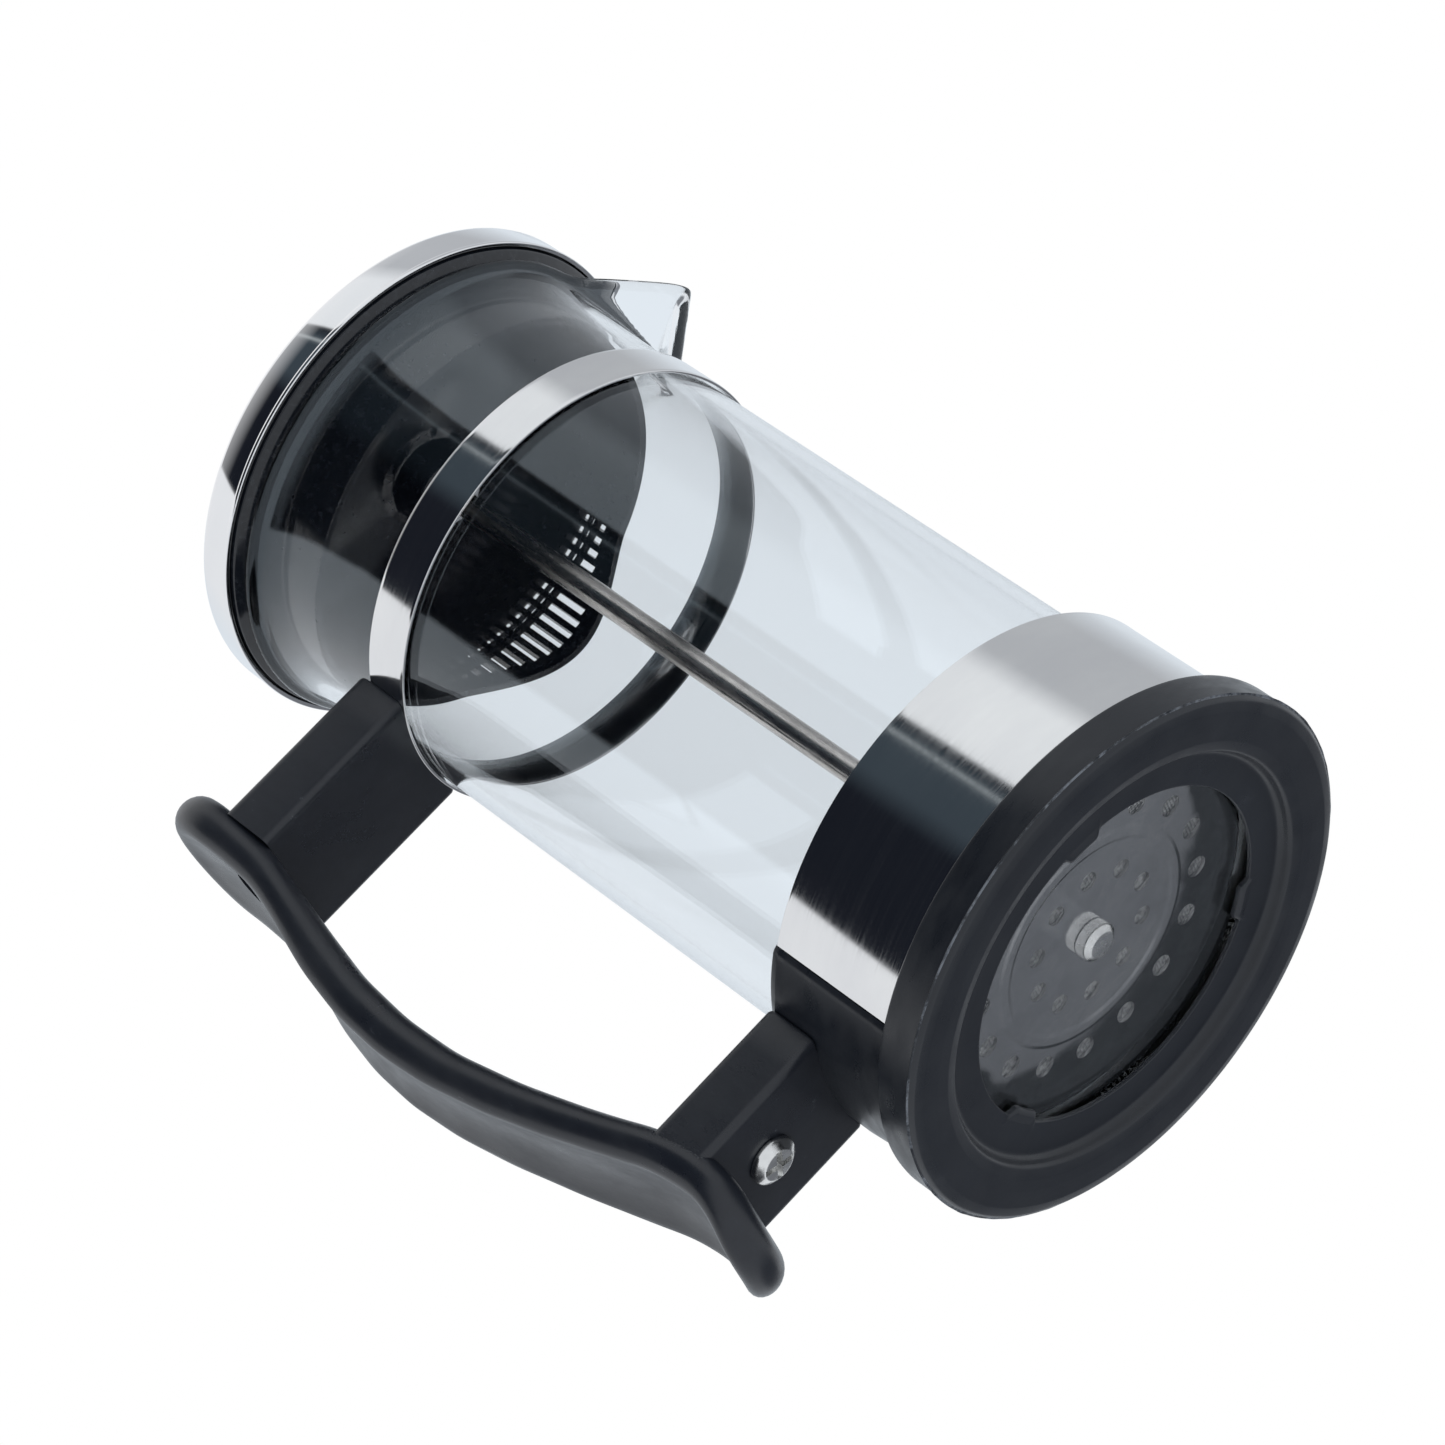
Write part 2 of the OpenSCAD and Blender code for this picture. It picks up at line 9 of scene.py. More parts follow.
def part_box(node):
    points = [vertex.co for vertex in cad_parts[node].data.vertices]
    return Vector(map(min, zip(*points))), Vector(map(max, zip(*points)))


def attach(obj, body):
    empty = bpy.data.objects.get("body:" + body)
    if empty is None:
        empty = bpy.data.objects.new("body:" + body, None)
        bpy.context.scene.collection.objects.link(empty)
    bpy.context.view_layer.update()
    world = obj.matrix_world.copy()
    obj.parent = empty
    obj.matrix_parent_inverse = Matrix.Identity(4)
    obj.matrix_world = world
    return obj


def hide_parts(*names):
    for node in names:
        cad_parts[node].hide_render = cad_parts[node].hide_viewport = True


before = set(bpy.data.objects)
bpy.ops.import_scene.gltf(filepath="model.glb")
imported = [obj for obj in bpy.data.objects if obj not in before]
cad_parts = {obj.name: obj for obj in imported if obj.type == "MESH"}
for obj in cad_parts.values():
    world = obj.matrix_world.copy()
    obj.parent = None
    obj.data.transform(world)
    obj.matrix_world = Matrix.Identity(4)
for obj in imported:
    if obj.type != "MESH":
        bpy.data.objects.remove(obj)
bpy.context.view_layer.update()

# ---------------------------------------------------------------- foot ring
# The black plastic ring the press stands on, one injection moulding with the cup wall
# that holds the glass and the thin ledge with three snap tabs under it.
# Matte, with a sharp moulding flash along the outer edge, a painted dashed highlight along that flash and
# small scuffs.
MM = 0.001


def fillet(corners, radius, steps=5):
    """Rounds the corners of a closed outline of (distance, height) points."""
    rounded = []
    count = len(corners)
    radii = radius if isinstance(radius, (list, tuple)) else [radius] * count
    for i, corner in enumerate(corners):
        p = Vector(corner)
        a = Vector(corners[i - 1]) - p
        b = Vector(corners[(i + 1) % count]) - p
        r = radii[i]
        if not r:
            rounded.append(tuple(p))
            continue
        if min(a.length, b.length) < 1e-5:
            rounded += [tuple(p)] * (steps + 1)
            continue
        reach = min(r / max(0.05, math.tan(a.angle(b) / 2)), 0.49 * a.length, 0.49 * b.length)
        start, end = p + a.normalized() * reach, p + b.normalized() * reach
        for k in range(steps + 1):
            t = k / steps
            rounded.append(tuple(start * (1 - t) ** 2 + p * 2 * t * (1 - t) + end * t * t))
    return rounded


def spin(outline, steps=192, first=0.0, sweep=360.0):
    """Turns an outline, or one given for each angle, round the axis. Returns vertices in mm and faces."""
    whole = sweep > 359.9
    columns = steps if whole else steps + 1
    verts, faces = [], []
    for c in range(columns):
        a = math.radians(first + sweep * c / steps)
        points = outline(math.degrees(a)) if callable(outline) else outline
        verts += [(r * math.cos(a), r * math.sin(a), z) for r, z in points]
    n = len(points)
    on_axis = points[0][0] < 1e-6 and points[-1][0] < 1e-6
    for c in range(steps):
        d = (c + 1) % columns
        for k in range(n - 1 if on_axis else n):
            j = (k + 1) % n
            faces.append((c * n + k, d * n + k, d * n + j, c * n + j))
    if not whole:
        faces += [tuple(range(n)), tuple(reversed(range(steps * n, steps * n + n)))]
    return verts, faces


def shape(name, verts, faces, sharp=32):
    """A new object from vertices in mm, with its doubles merged and its faces pointing outwards."""
    mesh = bpy.data.meshes.new(name)
    mesh.from_pydata([(x * MM, y * MM, z * MM) for x, y, z in verts], [], faces)
    work = bmesh.new()
    work.from_mesh(mesh)
    bmesh.ops.remove_doubles(work, verts=work.verts, dist=2e-6)
    bmesh.ops.recalc_face_normals(work, faces=work.faces)
    work.to_mesh(mesh)
    work.free()
    mesh.shade_smooth()
    mesh.set_sharp_from_angle(angle=math.radians(sharp))
    obj = bpy.data.objects.new(name, mesh)
    bpy.context.scene.collection.objects.link(obj)
    return obj


def settle(obj, paint, body, nodes):
    """Paints a finished piece and ties it to its CAD body and nodes."""
    obj.data.materials.clear()
    obj.data.materials.append(paint)
    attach(obj, body)
    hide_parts(*nodes)
    return obj


def material(name, colour, metallic=0.0, roughness=0.4, **more):
    """A Principled material with its constants on the shader's own sockets."""
    paint = bpy.data.materials.new(name)
    paint.use_nodes = True
    shader = paint.node_tree.nodes["Principled BSDF"]
    shader.inputs["Base Color"].default_value = (*colour, 1)
    shader.inputs["Metallic"].default_value = metallic
    shader.inputs["Roughness"].default_value = roughness
    for key, value in more.items():
        shader.inputs[key.replace("_", " ")].default_value = value
    return paint


def noise(paint, scale, stretch=(1, 1, 1), detail=4.0, rough=0.55, shift=0.0):
    """A noise pattern in object coordinates, stretched along the axes. scale is in cells a metre."""
    nodes, links = paint.node_tree.nodes, paint.node_tree.links
    where = nodes.new("ShaderNodeTexCoord")
    turn = nodes.new("ShaderNodeMapping")
    turn.inputs["Scale"].default_value = stretch
    turn.inputs["Location"].default_value = (shift, shift, shift)
    pattern = nodes.new("ShaderNodeTexNoise")
    pattern.inputs["Scale"].default_value = scale
    pattern.inputs["Detail"].default_value = detail
    pattern.inputs["Roughness"].default_value = rough
    links.new(where.outputs["Object"], turn.inputs["Vector"])
    links.new(turn.outputs["Vector"], pattern.inputs["Vector"])
    return pattern.outputs["Fac"]


def spread(paint, source, socket, low, high, start=0.35, end=0.65):
    """Drives one socket of the shader from a pattern, between two values."""
    nodes, links = paint.node_tree.nodes, paint.node_tree.links
    span = nodes.new("ShaderNodeMapRange")
    span.inputs["From Min"].default_value = start
    span.inputs["From Max"].default_value = end
    span.inputs["To Min"].default_value = low
    span.inputs["To Max"].default_value = high
    links.new(source, span.inputs["Value"])
    links.new(span.outputs["Result"], nodes["Principled BSDF"].inputs[socket])


def tint(paint, source, stops):
    """Colours the shader from a pattern through (position, colour) stops."""
    nodes, links = paint.node_tree.nodes, paint.node_tree.links
    ramp = nodes.new("ShaderNodeValToRGB")
    points = ramp.color_ramp.elements
    while len(points) < len(stops):
        points.new(0.5)
    for point, (position, colour) in zip(points, stops):
        point.position = position
        point.color = (*colour, 1)
    links.new(source, ramp.inputs["Fac"])
    links.new(ramp.outputs["Color"], nodes["Principled BSDF"].inputs["Base Color"])


def relief(paint, source, depth_mm, strength=1.0):
    """Raises a pattern from the surface, on top of any relief the paint already has."""
    nodes, links = paint.node_tree.nodes, paint.node_tree.links
    bump = nodes.new("ShaderNodeBump")
    bump.inputs["Distance"].default_value = depth_mm * MM
    bump.inputs["Strength"].default_value = strength
    normal = nodes["Principled BSDF"].inputs["Normal"]
    if normal.is_linked:
        links.new(normal.links[0].from_socket, bump.inputs["Normal"])
    links.new(source, bump.inputs["Height"])
    links.new(bump.outputs["Normal"], normal)


black_plastic = material("black_plastic", (0.014, 0.017, 0.023), roughness=0.36, Specular_IOR_Level=0.45)
tint(black_plastic, noise(black_plastic, 60, detail=8, rough=0.7),
     [(0.3, (0.010, 0.012, 0.017)), (0.62, (0.014, 0.017, 0.023)), (0.8, (0.03, 0.034, 0.042))])
spread(black_plastic, noise(black_plastic, 140, (1, 1, 3), detail=6), "Roughness", 0.27, 0.42)
relief(black_plastic, noise(black_plastic, 2600, detail=2), 0.02, 0.35)
relief(black_plastic, noise(black_plastic, 35, (1, 1, 1), detail=2), 0.12, 0.25)

foot_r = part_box("foot_ring")[1][0] / MM
foot_h = 7.1
recess_r, recess_depth = 32.4, 2.2
ledge_top = 3.0
open_r = 26.0
tab_angles, tab_reach, tab_half, tab_rib = (35, 155, 275), 1.6, 6.6, 0.35
cup_in, cup_out, cup_top = 34.85, 37.55, 27.8
flash_z, flash_out, flash_wander = 1.05, 0.12, 0.03


def foot_outline(angle):
    """The foot's section at one angle: pads, flash line, cup wall, ledge and snap tabs."""
    near_tab = min(abs((angle - a + 180) % 360 - 180) for a in tab_angles)
    step = min(1.0, max(0.0, (tab_half + 1.2 - near_tab) / 2.4))
    inner = open_r - tab_reach * step * step * (3 - 2 * step)
    rib = tab_rib * step
    waves = math.sin(math.radians(angle * 23)) + math.sin(math.radians(angle * 61 + 40))
    burr = flash_wander * max(0.0, waves)
    # each corner with the radius of its rounding
    corners = [
        ((recess_r - 0.3, 0.5), 0.9), ((recess_r + 1.6, 0.04), 1.2), ((recess_r + 3.4, 0), 0.8),
        ((foot_r - 2.2, 0.02), 1.2), ((foot_r - 0.55, 0.4), 0.9), ((foot_r - 0.2, flash_z - 0.1 + burr), 0.1),
        ((foot_r + flash_out + burr, flash_z), 0), ((foot_r - 0.15, flash_z + 0.25 + burr), 0.1),
        ((foot_r - 0.12, foot_h), 0.9), ((cup_out, foot_h + 0.02), 0), ((cup_out, cup_top), 0.4),
        ((cup_in, cup_top), 0.4), ((cup_in, ledge_top), 0.3), ((inner, ledge_top), 0.2),
        ((inner, recess_depth + rib * 0.2), 0.3), ((inner + 0.9, recess_depth - rib), 0.3),
        ((inner + 2.1, recess_depth), 0.3), ((recess_r - 0.9, recess_depth), 1.2)]
    return fillet([c[0] for c in corners], [c[1] for c in corners], 3)


foot = shape("foot_ring_body", *spin(foot_outline, 360))
settle(foot, black_plastic, "stand", ["foot_ring"])
# The faces along the flash line take a lighter dashed colour: a painted highlight standing in for light
# caught by the flash.
flash_highlight_paint = material("moulding_flash_painted_highlight", (0.12, 0.13, 0.15), roughness=0.3)
tint(flash_highlight_paint, noise(flash_highlight_paint, 190, detail=7, rough=0.8),
     [(0.44, (0.014, 0.017, 0.023)), (0.56, (0.16, 0.175, 0.2))])
foot.data.materials.append(flash_highlight_paint)
# picks the faces at the flash line that get the painted highlight
for face in foot.data.polygons:
    at_edge = math.hypot(face.center.x, face.center.y) > (foot_r - 0.25) * MM
    if at_edge and abs(face.center.z / MM - flash_z - 0.07) < 0.17:
        face.material_index = 1

# ---------------------------------------------------------------- base sleeve
# A polished stainless sheet rolled round the plastic cup, open where the handle socket sits.
# Mirror bright with very fine lines running round it from polishing.
polished_steel = material("polished_steel", (0.82, 0.82, 0.82), metallic=1.0, roughness=0.07)
lines = noise(polished_steel, 110, (0.4, 0.4, 60), detail=6, rough=0.75)
tint(polished_steel, noise(polished_steel, 40, (1, 1, 2), detail=5),
     [(0.25, (0.76, 0.76, 0.77)), (0.75, (0.87, 0.87, 0.86))])
spread(polished_steel, lines, "Roughness", 0.035, 0.16)
relief(polished_steel, lines, 0.006, 0.3)
relief(polished_steel, noise(polished_steel, 16, (1, 1, 0.5), detail=1), 0.2, 0.1)

sleeve_in, sleeve_r, sleeve_top = 37.6, 38.0, 29.4
sleeve_low = foot_h + 0.05
gap_half = 33.3
sleeve_outline = fillet(
    [(sleeve_in, sleeve_low), (sleeve_r, sleeve_low), (sleeve_r, sleeve_top - 0.3),
     (sleeve_r + 0.04, sleeve_top), (sleeve_in, sleeve_top)], [0.05, 0.1, 0.2, 0.18, 0.1], 3)
sleeve = shape("base_sleeve_body", *spin(sleeve_outline, 240, -180 + gap_half, 360 - 2 * gap_half))
settle(sleeve, polished_steel, "stand", ["base_sleeve"])

# ---------------------------------------------------------------- handle socket
# The curved black plastic wall between the sleeve's ends, moulded with the tongue that goes
# into the lower arm. It stands slightly proud of the steel, with a soft raised pad at the arm.
socket_r, socket_half = 38.5, 33
socket_in, socket_top = cup_out + 0.05, sleeve_top + 0.3
pad_half, pad_rise = 20, 0.35
arm_z_low, arm_h, arm_half = 20.2, 9.3, 12.0


def socket_outline(angle):
    """The socket's section at one angle, rolled down at its ends and raised behind the arm."""
    off = abs((angle % 360) - 180)
    edge = max(0.0, min(1.0, (socket_half - off) / 1.2))
    pad = pad_rise * max(0.0, min(1.0, (pad_half - off) / 4))
    face = cup_out + 0.5 + (socket_r - cup_out - 0.5) * math.sqrt(edge)
    return fillet([(socket_in, sleeve_low), (face, sleeve_low), (face, 12.5), (face + pad, arm_z_low - 3),
                   (face + pad, sleeve_top - 0.8), (face - 0.2, socket_top), (socket_in, socket_top)],
                  [0, 0.3, 1.5, 1.5, 0.6, 0.2, 0], 3)


socket = shape("handle_socket_body", *spin(socket_outline, 90, 180 - socket_half, 2 * socket_half))
settle(socket, black_plastic, "stand", ["handle_socket"])

# ---------------------------------------------------------------- handle
# One black plastic moulding: a thick curved grip plate with rolled edges, round ends and a
# dished outer face, and two flat arms that reach to the socket and the band.
# A round access hole in the grip lets a screwdriver reach the band's screw.
arm_z_up = 110.05
grip_x, grip_end, end_w = 60.0, 12.6, 12.4
outer_points = [(7.0, 67.0), (9.6, 67.0), (12, 66.2), (14.7, 64.7), (17.7, 63.8), (20.2, 63.6), (24.2, 63.9),
                (28.2, 64.6), (31, 65.5), (43.6, 69.2), (54.8, 72), (65.1, 73.8), (74.1, 74.4), (83.1, 73.8),
                (92.1, 72), (99.3, 69.7), (103.8, 68.3), (108.5, 67.1), (112, 66.8), (117, 66.6), (122, 66.7),
                (127.5, 66.6), (132.5, 66.4)]
inner_points = [(7.0, 60.6), (9, 60.4), (11.2, 59.8), (15.2, 58.2), (20.2, 57.6), (24.2, 57.8), (30.5, 59.2),
                (34.6, 60.6), (40.9, 62.4), (52.5, 65.3), (63.3, 67.3), (74.1, 67.8), (84, 67), (93, 65.1),
                (103.8, 62.6), (110, 61), (119.3, 60.3), (126.5, 60), (132.5, 60)]
width_points = [(20.2, end_w), (29.5, end_w), (49.9, 10.6), (69.6, 10), (90.3, 10.6), (110, end_w),
                (119.4, end_w)]


def smooth_line(points, soft):
    """A smooth curve through (height, value) points, as a function of height."""
    z = np.linspace(points[0][0], points[-1][0], 600)
    v = np.interp(z, [p[0] for p in points], [p[1] for p in points])
    half = max(1, int(soft / (z[1] - z[0])))
    kernel = np.hanning(2 * half + 1)
    v = np.convolve(np.pad(v, half, mode="edge"), kernel / kernel.sum(), mode="valid")
    return lambda h: float(np.interp(h, z, v))


outer_x, inner_x = smooth_line(outer_points, 4), smooth_line(inner_points, 4)
half_w = smooth_line(width_points, 6)
arm_top = arm_z_up + arm_h
end_steps, side_steps = 48, 110
# the grip's rim, all the way round, as (across, height, height of the middle line it is measured from)
rim_way = []
for side, start, end in ((1, arm_z_low, arm_top), (-1, arm_top, arm_z_low)):
    for k in range(end_steps):
        a = math.radians((-180 if side > 0 else 0) + 180 * k / end_steps)
        rim_way.append((end_w * math.cos(a), start + grip_end * math.sin(a), start))
    for k in range(side_steps):
        z = start + (end - start) * k / side_steps
        rim_way.append((side * half_w(z), z, z))
# how far out each ring of the face lies, from its middle line to the rim
shares = [0, 0.2, 0.4, 0.55, 0.66, 0.74, 0.8, 0.86, 0.91, 0.95, 0.98, 0.995, 1]
edge_roll, face_dish, dish_share = 2.9, 1.3, 0.78
grip_verts, grip_faces = [], []
for y, z, middle in rim_way:
    loop = []
    for side in (1, -1):
        row = []
        for f in shares:
            h = middle + f * (z - middle)
            inside = (1 - f) * math.hypot(y, z - middle)
            bend = math.sqrt(max(0.0, 1 - (1 - min(1.0, inside / edge_roll)) ** 2))
            out, back = outer_x(h), inner_x(h)
            centre, thick = (out + back) / 2, (out - back) / 2
            dish = face_dish * max(0.0, 1 - (f / dish_share) ** 2)
            x = centre + side * thick * bend - (dish if side > 0 else 0)
            row.append((-x, f * y, h))
        loop += row if side > 0 else row[::-1]
    grip_verts += loop
section = 2 * len(shares)
for s in range(len(rim_way)):
    e = (s + 1) % len(rim_way)
    for k in range(section - 1):
        grip_faces.append((s * section + k, e * section + k, e * section + k + 1, s * section + k + 1))


def cut(obj, tool, how="DIFFERENCE"):
    """Cuts one object by another for good and removes the tool."""
    change = obj.modifiers.new("cut", "BOOLEAN")
    change.operation = how
    change.solver = "EXACT"
    change.object = tool
    held = obj.evaluated_get(bpy.context.evaluated_depsgraph_get())
    mesh = bpy.data.meshes.new_from_object(held)
    obj.modifiers.clear()
    obj.data = mesh
    bpy.data.objects.remove(tool)
    mesh.shade_smooth()
    mesh.set_sharp_from_angle(angle=math.radians(32))
    return obj


def bar(outline, stations, closed=True):
    """Joins copies of an outline, each given by a function from point to place, into a closed bar."""
    verts, faces = [], []
    n = len(outline)
    for place in stations:
        verts += [place(p) for p in outline]
    for s in range(len(stations) - 1):
        for k in range(n):
            j = (k + 1) % n
            faces.append((s * n + k, s * n + j, s * n + n + j, s * n + n + k))
    if closed:
        last = (len(stations) - 1) * n
        faces += [tuple(reversed(range(n))), tuple(range(last, last + n))]
    return verts, faces


def add_to(obj, verts, faces):
    """Adds another closed shell to an object's mesh."""
    extra = shape(obj.name + "_more", verts, faces)
    work = bmesh.new()
    work.from_mesh(obj.data)
    work.from_mesh(extra.data)
    work.to_mesh(obj.data)
    work.free()
    bpy.data.objects.remove(extra)


handle = shape("handle_body", grip_verts, grip_faces, 40)
access_r, access_sides = 3.4, 48
hole_z = arm_z_up + arm_h / 2
circle = []
for k in range(access_sides):
    a = 2 * math.pi * k / access_sides
    circle.append((access_r * math.cos(a), access_r * math.sin(a)))
cut(handle, shape("hole_tool", *bar(circle, [
    lambda p: (-grip_x - 20, p[0], hole_z + p[1]), lambda p: (-grip_x - 1.6, p[0], hole_z + p[1])])))
band_r, arm_round = 35.3, 1.5
for z_low, end_r in ((arm_z_low, socket_r + 0.4), (arm_z_up, band_r)):
    z_high = z_low + arm_h
    sides = fillet([(-arm_half, z_low), (arm_half, z_low), (arm_half, z_high), (-arm_half, z_high)],
                   arm_round, 6)
    mid_z = z_low + arm_h / 2

    def end_place(inset, back, r=end_r, mid=mid_z):
        """Where a point of the arm's section goes, curved to meet the wall it ends at."""
        return lambda p: (-math.sqrt(r * r - p[0] ** 2) - back, p[0] * (1 - inset / arm_half),
                          mid + (p[1] - mid) * (1 - inset / (arm_h / 2)))

    add_to(handle, *bar(sides, [lambda p: (-grip_x - 1.2, p[0], p[1]), end_place(0, 6), end_place(0, 0.5),
                                end_place(0.12, 0.15), end_place(0.4, 0)]))
handle.data.shade_smooth()
handle.data.set_sharp_from_angle(angle=math.radians(32))
handle_plastic = material("handle_plastic", (0.015, 0.018, 0.025), roughness=0.34, Specular_IOR_Level=0.5)
tint(handle_plastic, noise(handle_plastic, 420, (1, 1, 0.5), detail=10, rough=0.75),
     [(0.3, (0.011, 0.013, 0.019)), (0.64, (0.015, 0.018, 0.025)), (0.76, (0.13, 0.14, 0.155))])
spread(handle_plastic, noise(handle_plastic, 90, (1, 1, 0.6), detail=8, rough=0.7), "Roughness", 0.24, 0.42)
relief(handle_plastic, noise(handle_plastic, 2200, detail=2), 0.02, 0.35)
relief(handle_plastic, noise(handle_plastic, 300, (1, 1, 0.3), detail=6, rough=0.8, shift=3), 0.05, 0.3)
settle(handle, handle_plastic, "stand", ["handle"])

# ---------------------------------------------------------------- upper band
# A thin polished steel strip clamped round the glass by a screw hidden in the upper arm.
band_low, band_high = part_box("upper_band")
band_z0, band_z1 = band_low[2] / MM, band_high[2] / MM
band_in, band_crown = 34.85, 0.05
band = shape("upper_band_body", *spin(fillet(
    [(band_in, band_z0), (band_r - band_crown, band_z0), (band_r, band_z0 + 0.5), (band_r, band_z1 - 0.5),
     (band_r - band_crown, band_z1), (band_in, band_z1)], [0.1, 0.12, 0.3, 0.3, 0.12, 0.1], 3), 240))
settle(band, polished_steel, "stand", ["upper_band"])

# ---------------------------------------------------------------- screws
# A nickel plated cross head screw holds the lower arm to the socket's tongue from below.
# A second one and its square nut pull the band tight inside the upper arm.
screw_steel = material("screw_steel", (0.8, 0.8, 0.79), metallic=1.0, roughness=0.2)
spread(screw_steel, noise(screw_steel, 500, (1, 1, 1), detail=5), "Roughness", 0.14, 0.36)
tint(screw_steel, noise(screw_steel, 300, detail=6), [(0.3, (0.68, 0.68, 0.67)), (0.7, (0.9, 0.9, 0.89))])
relief(screw_steel, noise(screw_steel, 500, detail=4), 0.05, 0.5)

screw_x, screw_head_r, screw_head_h = 51.0, 3.8, 1.8
screw_shank_r, seat_z, shank_end = 2.0, arm_z_low - 0.05, arm_z_low + 6.8
head_z = seat_z - screw_head_h
screw_outline = fillet(
    [(0.01, head_z), (screw_head_r - 1.3, head_z + 0.15), (screw_head_r, head_z + 1.1),
     (screw_head_r, seat_z), (screw_shank_r, seat_z + 0.01), (screw_shank_r, shank_end - 0.4),
     (0.01, shank_end)],
    [0, 0.8, 0.8, 0.2, 0, 0.3, 0], 5)
screw = shape("arm_screw_body", *spin([(0, head_z)] + screw_outline + [(0, shank_end)], 64))
cross_w, cross_mouth, cross_floor, cross_deep, cross_turn = 0.5, 2.6, 1.7, 1.5, 20
for turn in (cross_turn, cross_turn + 90):
    c, s = math.cos(math.radians(turn)), math.sin(math.radians(turn))
    blade = [(-cross_mouth, 0), (-cross_floor, cross_deep), (cross_floor, cross_deep), (cross_mouth, 0),
             (cross_mouth, -1), (-cross_mouth, -1)]
    cut(screw, shape("cross_tool", *bar(blade, [
        lambda p, w=w: (p[0] * c - w * s, p[0] * s + w * c, head_z + p[1]) for w in (-cross_w, cross_w)])))
for vertex in screw.data.vertices:
    vertex.co.x -= screw_x * MM
settle(screw, screw_steel, "stand", ["arm_screw"])
for node in ("band_screw", "band_nut"):
    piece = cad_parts[node]
    piece.data.materials.clear()
    piece.data.materials.append(screw_steel)

# ---------------------------------------------------------------- glass beaker
# Clear borosilicate glass, blown thin, gently flared at the mouth with a thick fire polished
# bead round the rim and a sharp folded spout. Slight waves and a few faint smudges.
glass_r, wall, glass_z, floor_z, rim_z = 34.5, 1.8, 3.35, 5.85, 142.95
bead_h, spout_z = 1.85, 112
flare_z, bead_z = rim_z - 20, rim_z - bead_h
# the spout's two folds meet at the root and the tip, and end in the rim at the side points
root = Vector((34.4, 0, 124.0))
tip = Vector((49.9, 0, 135.7))
side_point = Vector((30.9, 18.6, 142.0))
fold = (tip - root).cross(side_point - root)
spout_edge = []
for k in range(61):
    p = tip.lerp(side_point, k / 60)
    spout_edge.append((math.degrees(math.atan2(p.y, p.x)), p.z))
spout_edge += [(36, rim_z - 0.35), (44, rim_z)]
angles = np.linspace(0, 60, 241)
heights = np.interp(angles, [e[0] for e in spout_edge], [e[1] for e in spout_edge])
mirrored = np.concatenate([heights[:0:-1], heights])
soft = np.hanning(25)
mirrored = np.convolve(np.pad(mirrored, 12, mode="edge"), soft / soft.sum(), mode="valid")
rim_height = lambda a: float(np.interp(abs(a), angles, mirrored[240:]))


def glass_wall(z, angle, inner):
    """Distance of the glass face from the axis, with the folded spout blended in."""
    t = max(0.0, (z - flare_z) / (bead_z - flare_z))
    plain = glass_r + 1.05 * t ** 1.6 + 0.85 * t ** 6 - (wall if inner else 0)
    if abs(angle) > 60 or z < spout_z:
        return plain
    a = math.radians(angle)
    across = math.sqrt(math.sin(a) ** 2 + 0.03 ** 2)
    level = fold.z * z - (fold.x * root.x + fold.z * root.z) - (wall * fold.length if inner else 0)
    spout = level / -(fold.x * math.cos(a) + fold.y * across)
    gap = plain - spout
    return (plain + spout + math.sqrt(gap * gap + 1.2)) / 2 - 1.2 / 4 / max(2.0, abs(gap))


def glass_outline(angle):
    """The glass's section at one angle, from under the floor up, over the lip and down inside."""
    angle = (angle + 180) % 360 - 180
    in_spout = min(1.0, 2 * max(0.0, 1 - abs(angle) / 34))
    low_lip = 1 - 0.5 * in_spout
    top = rim_height(angle) - bead_h * low_lip
    rows = [(0, glass_z + 0.35), (12, glass_z + 0.3), (22, glass_z + 0.12), (27, glass_z)]
    rows += [(glass_r - 6 + 6 * math.sin(math.radians(q)), glass_z + 6 - 6 * math.cos(math.radians(q)))
             for q in range(0, 91, 10)]
    rows += [(glass_r, z) for z in (20, 40, 60, 80, 100, 111)]
    steps = [spout_z + (top - spout_z) * k / 34 for k in range(35)]
    rows += [(glass_wall(z, angle, False), z) for z in steps]
    base = rows[-1][0]
    lip = [(0.5, 0.4), (0.98, 0.75), (1.2, 1.15), (1.1, 1.5), (0.75, 1.78), (0.0, 1.85), (-0.7, 1.72),
           (-1.35, 1.2)]
    thick = base - glass_wall(top, angle, True)
    rows += [(base + dr * (thick / wall if dr < 0 else 1 - 0.6 * in_spout), top + dz * low_lip)
             for dr, dz in lip]
    rows += [(glass_wall(z, angle, True), z) for z in reversed(steps)]
    rows += [(glass_r - wall, z) for z in (111, 100, 80, 60, 40, 20)]
    rows += [(glass_r - 6 + 4.2 * math.cos(math.radians(q)), floor_z + 4.2 - 4.2 * math.sin(math.radians(q)))
             for q in range(0, 91, 10)]
    rows += [(22, floor_z + 0.1), (12, floor_z + 0.2), (0, floor_z + 0.2)]
    return rows


beaker = shape("glass_beaker_body", *spin(glass_outline, 480), 60)
glass = material("beaker_glass", (0.985, 0.995, 1.0), roughness=0.0, IOR=1.56, Transmission_Weight=1.0,
                 Specular_Tint=(0.8, 0.91, 1.0, 1.0))
relief(glass, noise(glass, 28, (1, 1, 0.4), detail=1), 0.12, 0.12)
spread(glass, noise(glass, 45, (1, 1, 0.5), detail=7, rough=0.7), "Roughness", 0.0, 0.035, 0.5, 0.8)
settle(beaker, glass, "beaker", ["glass_beaker"])

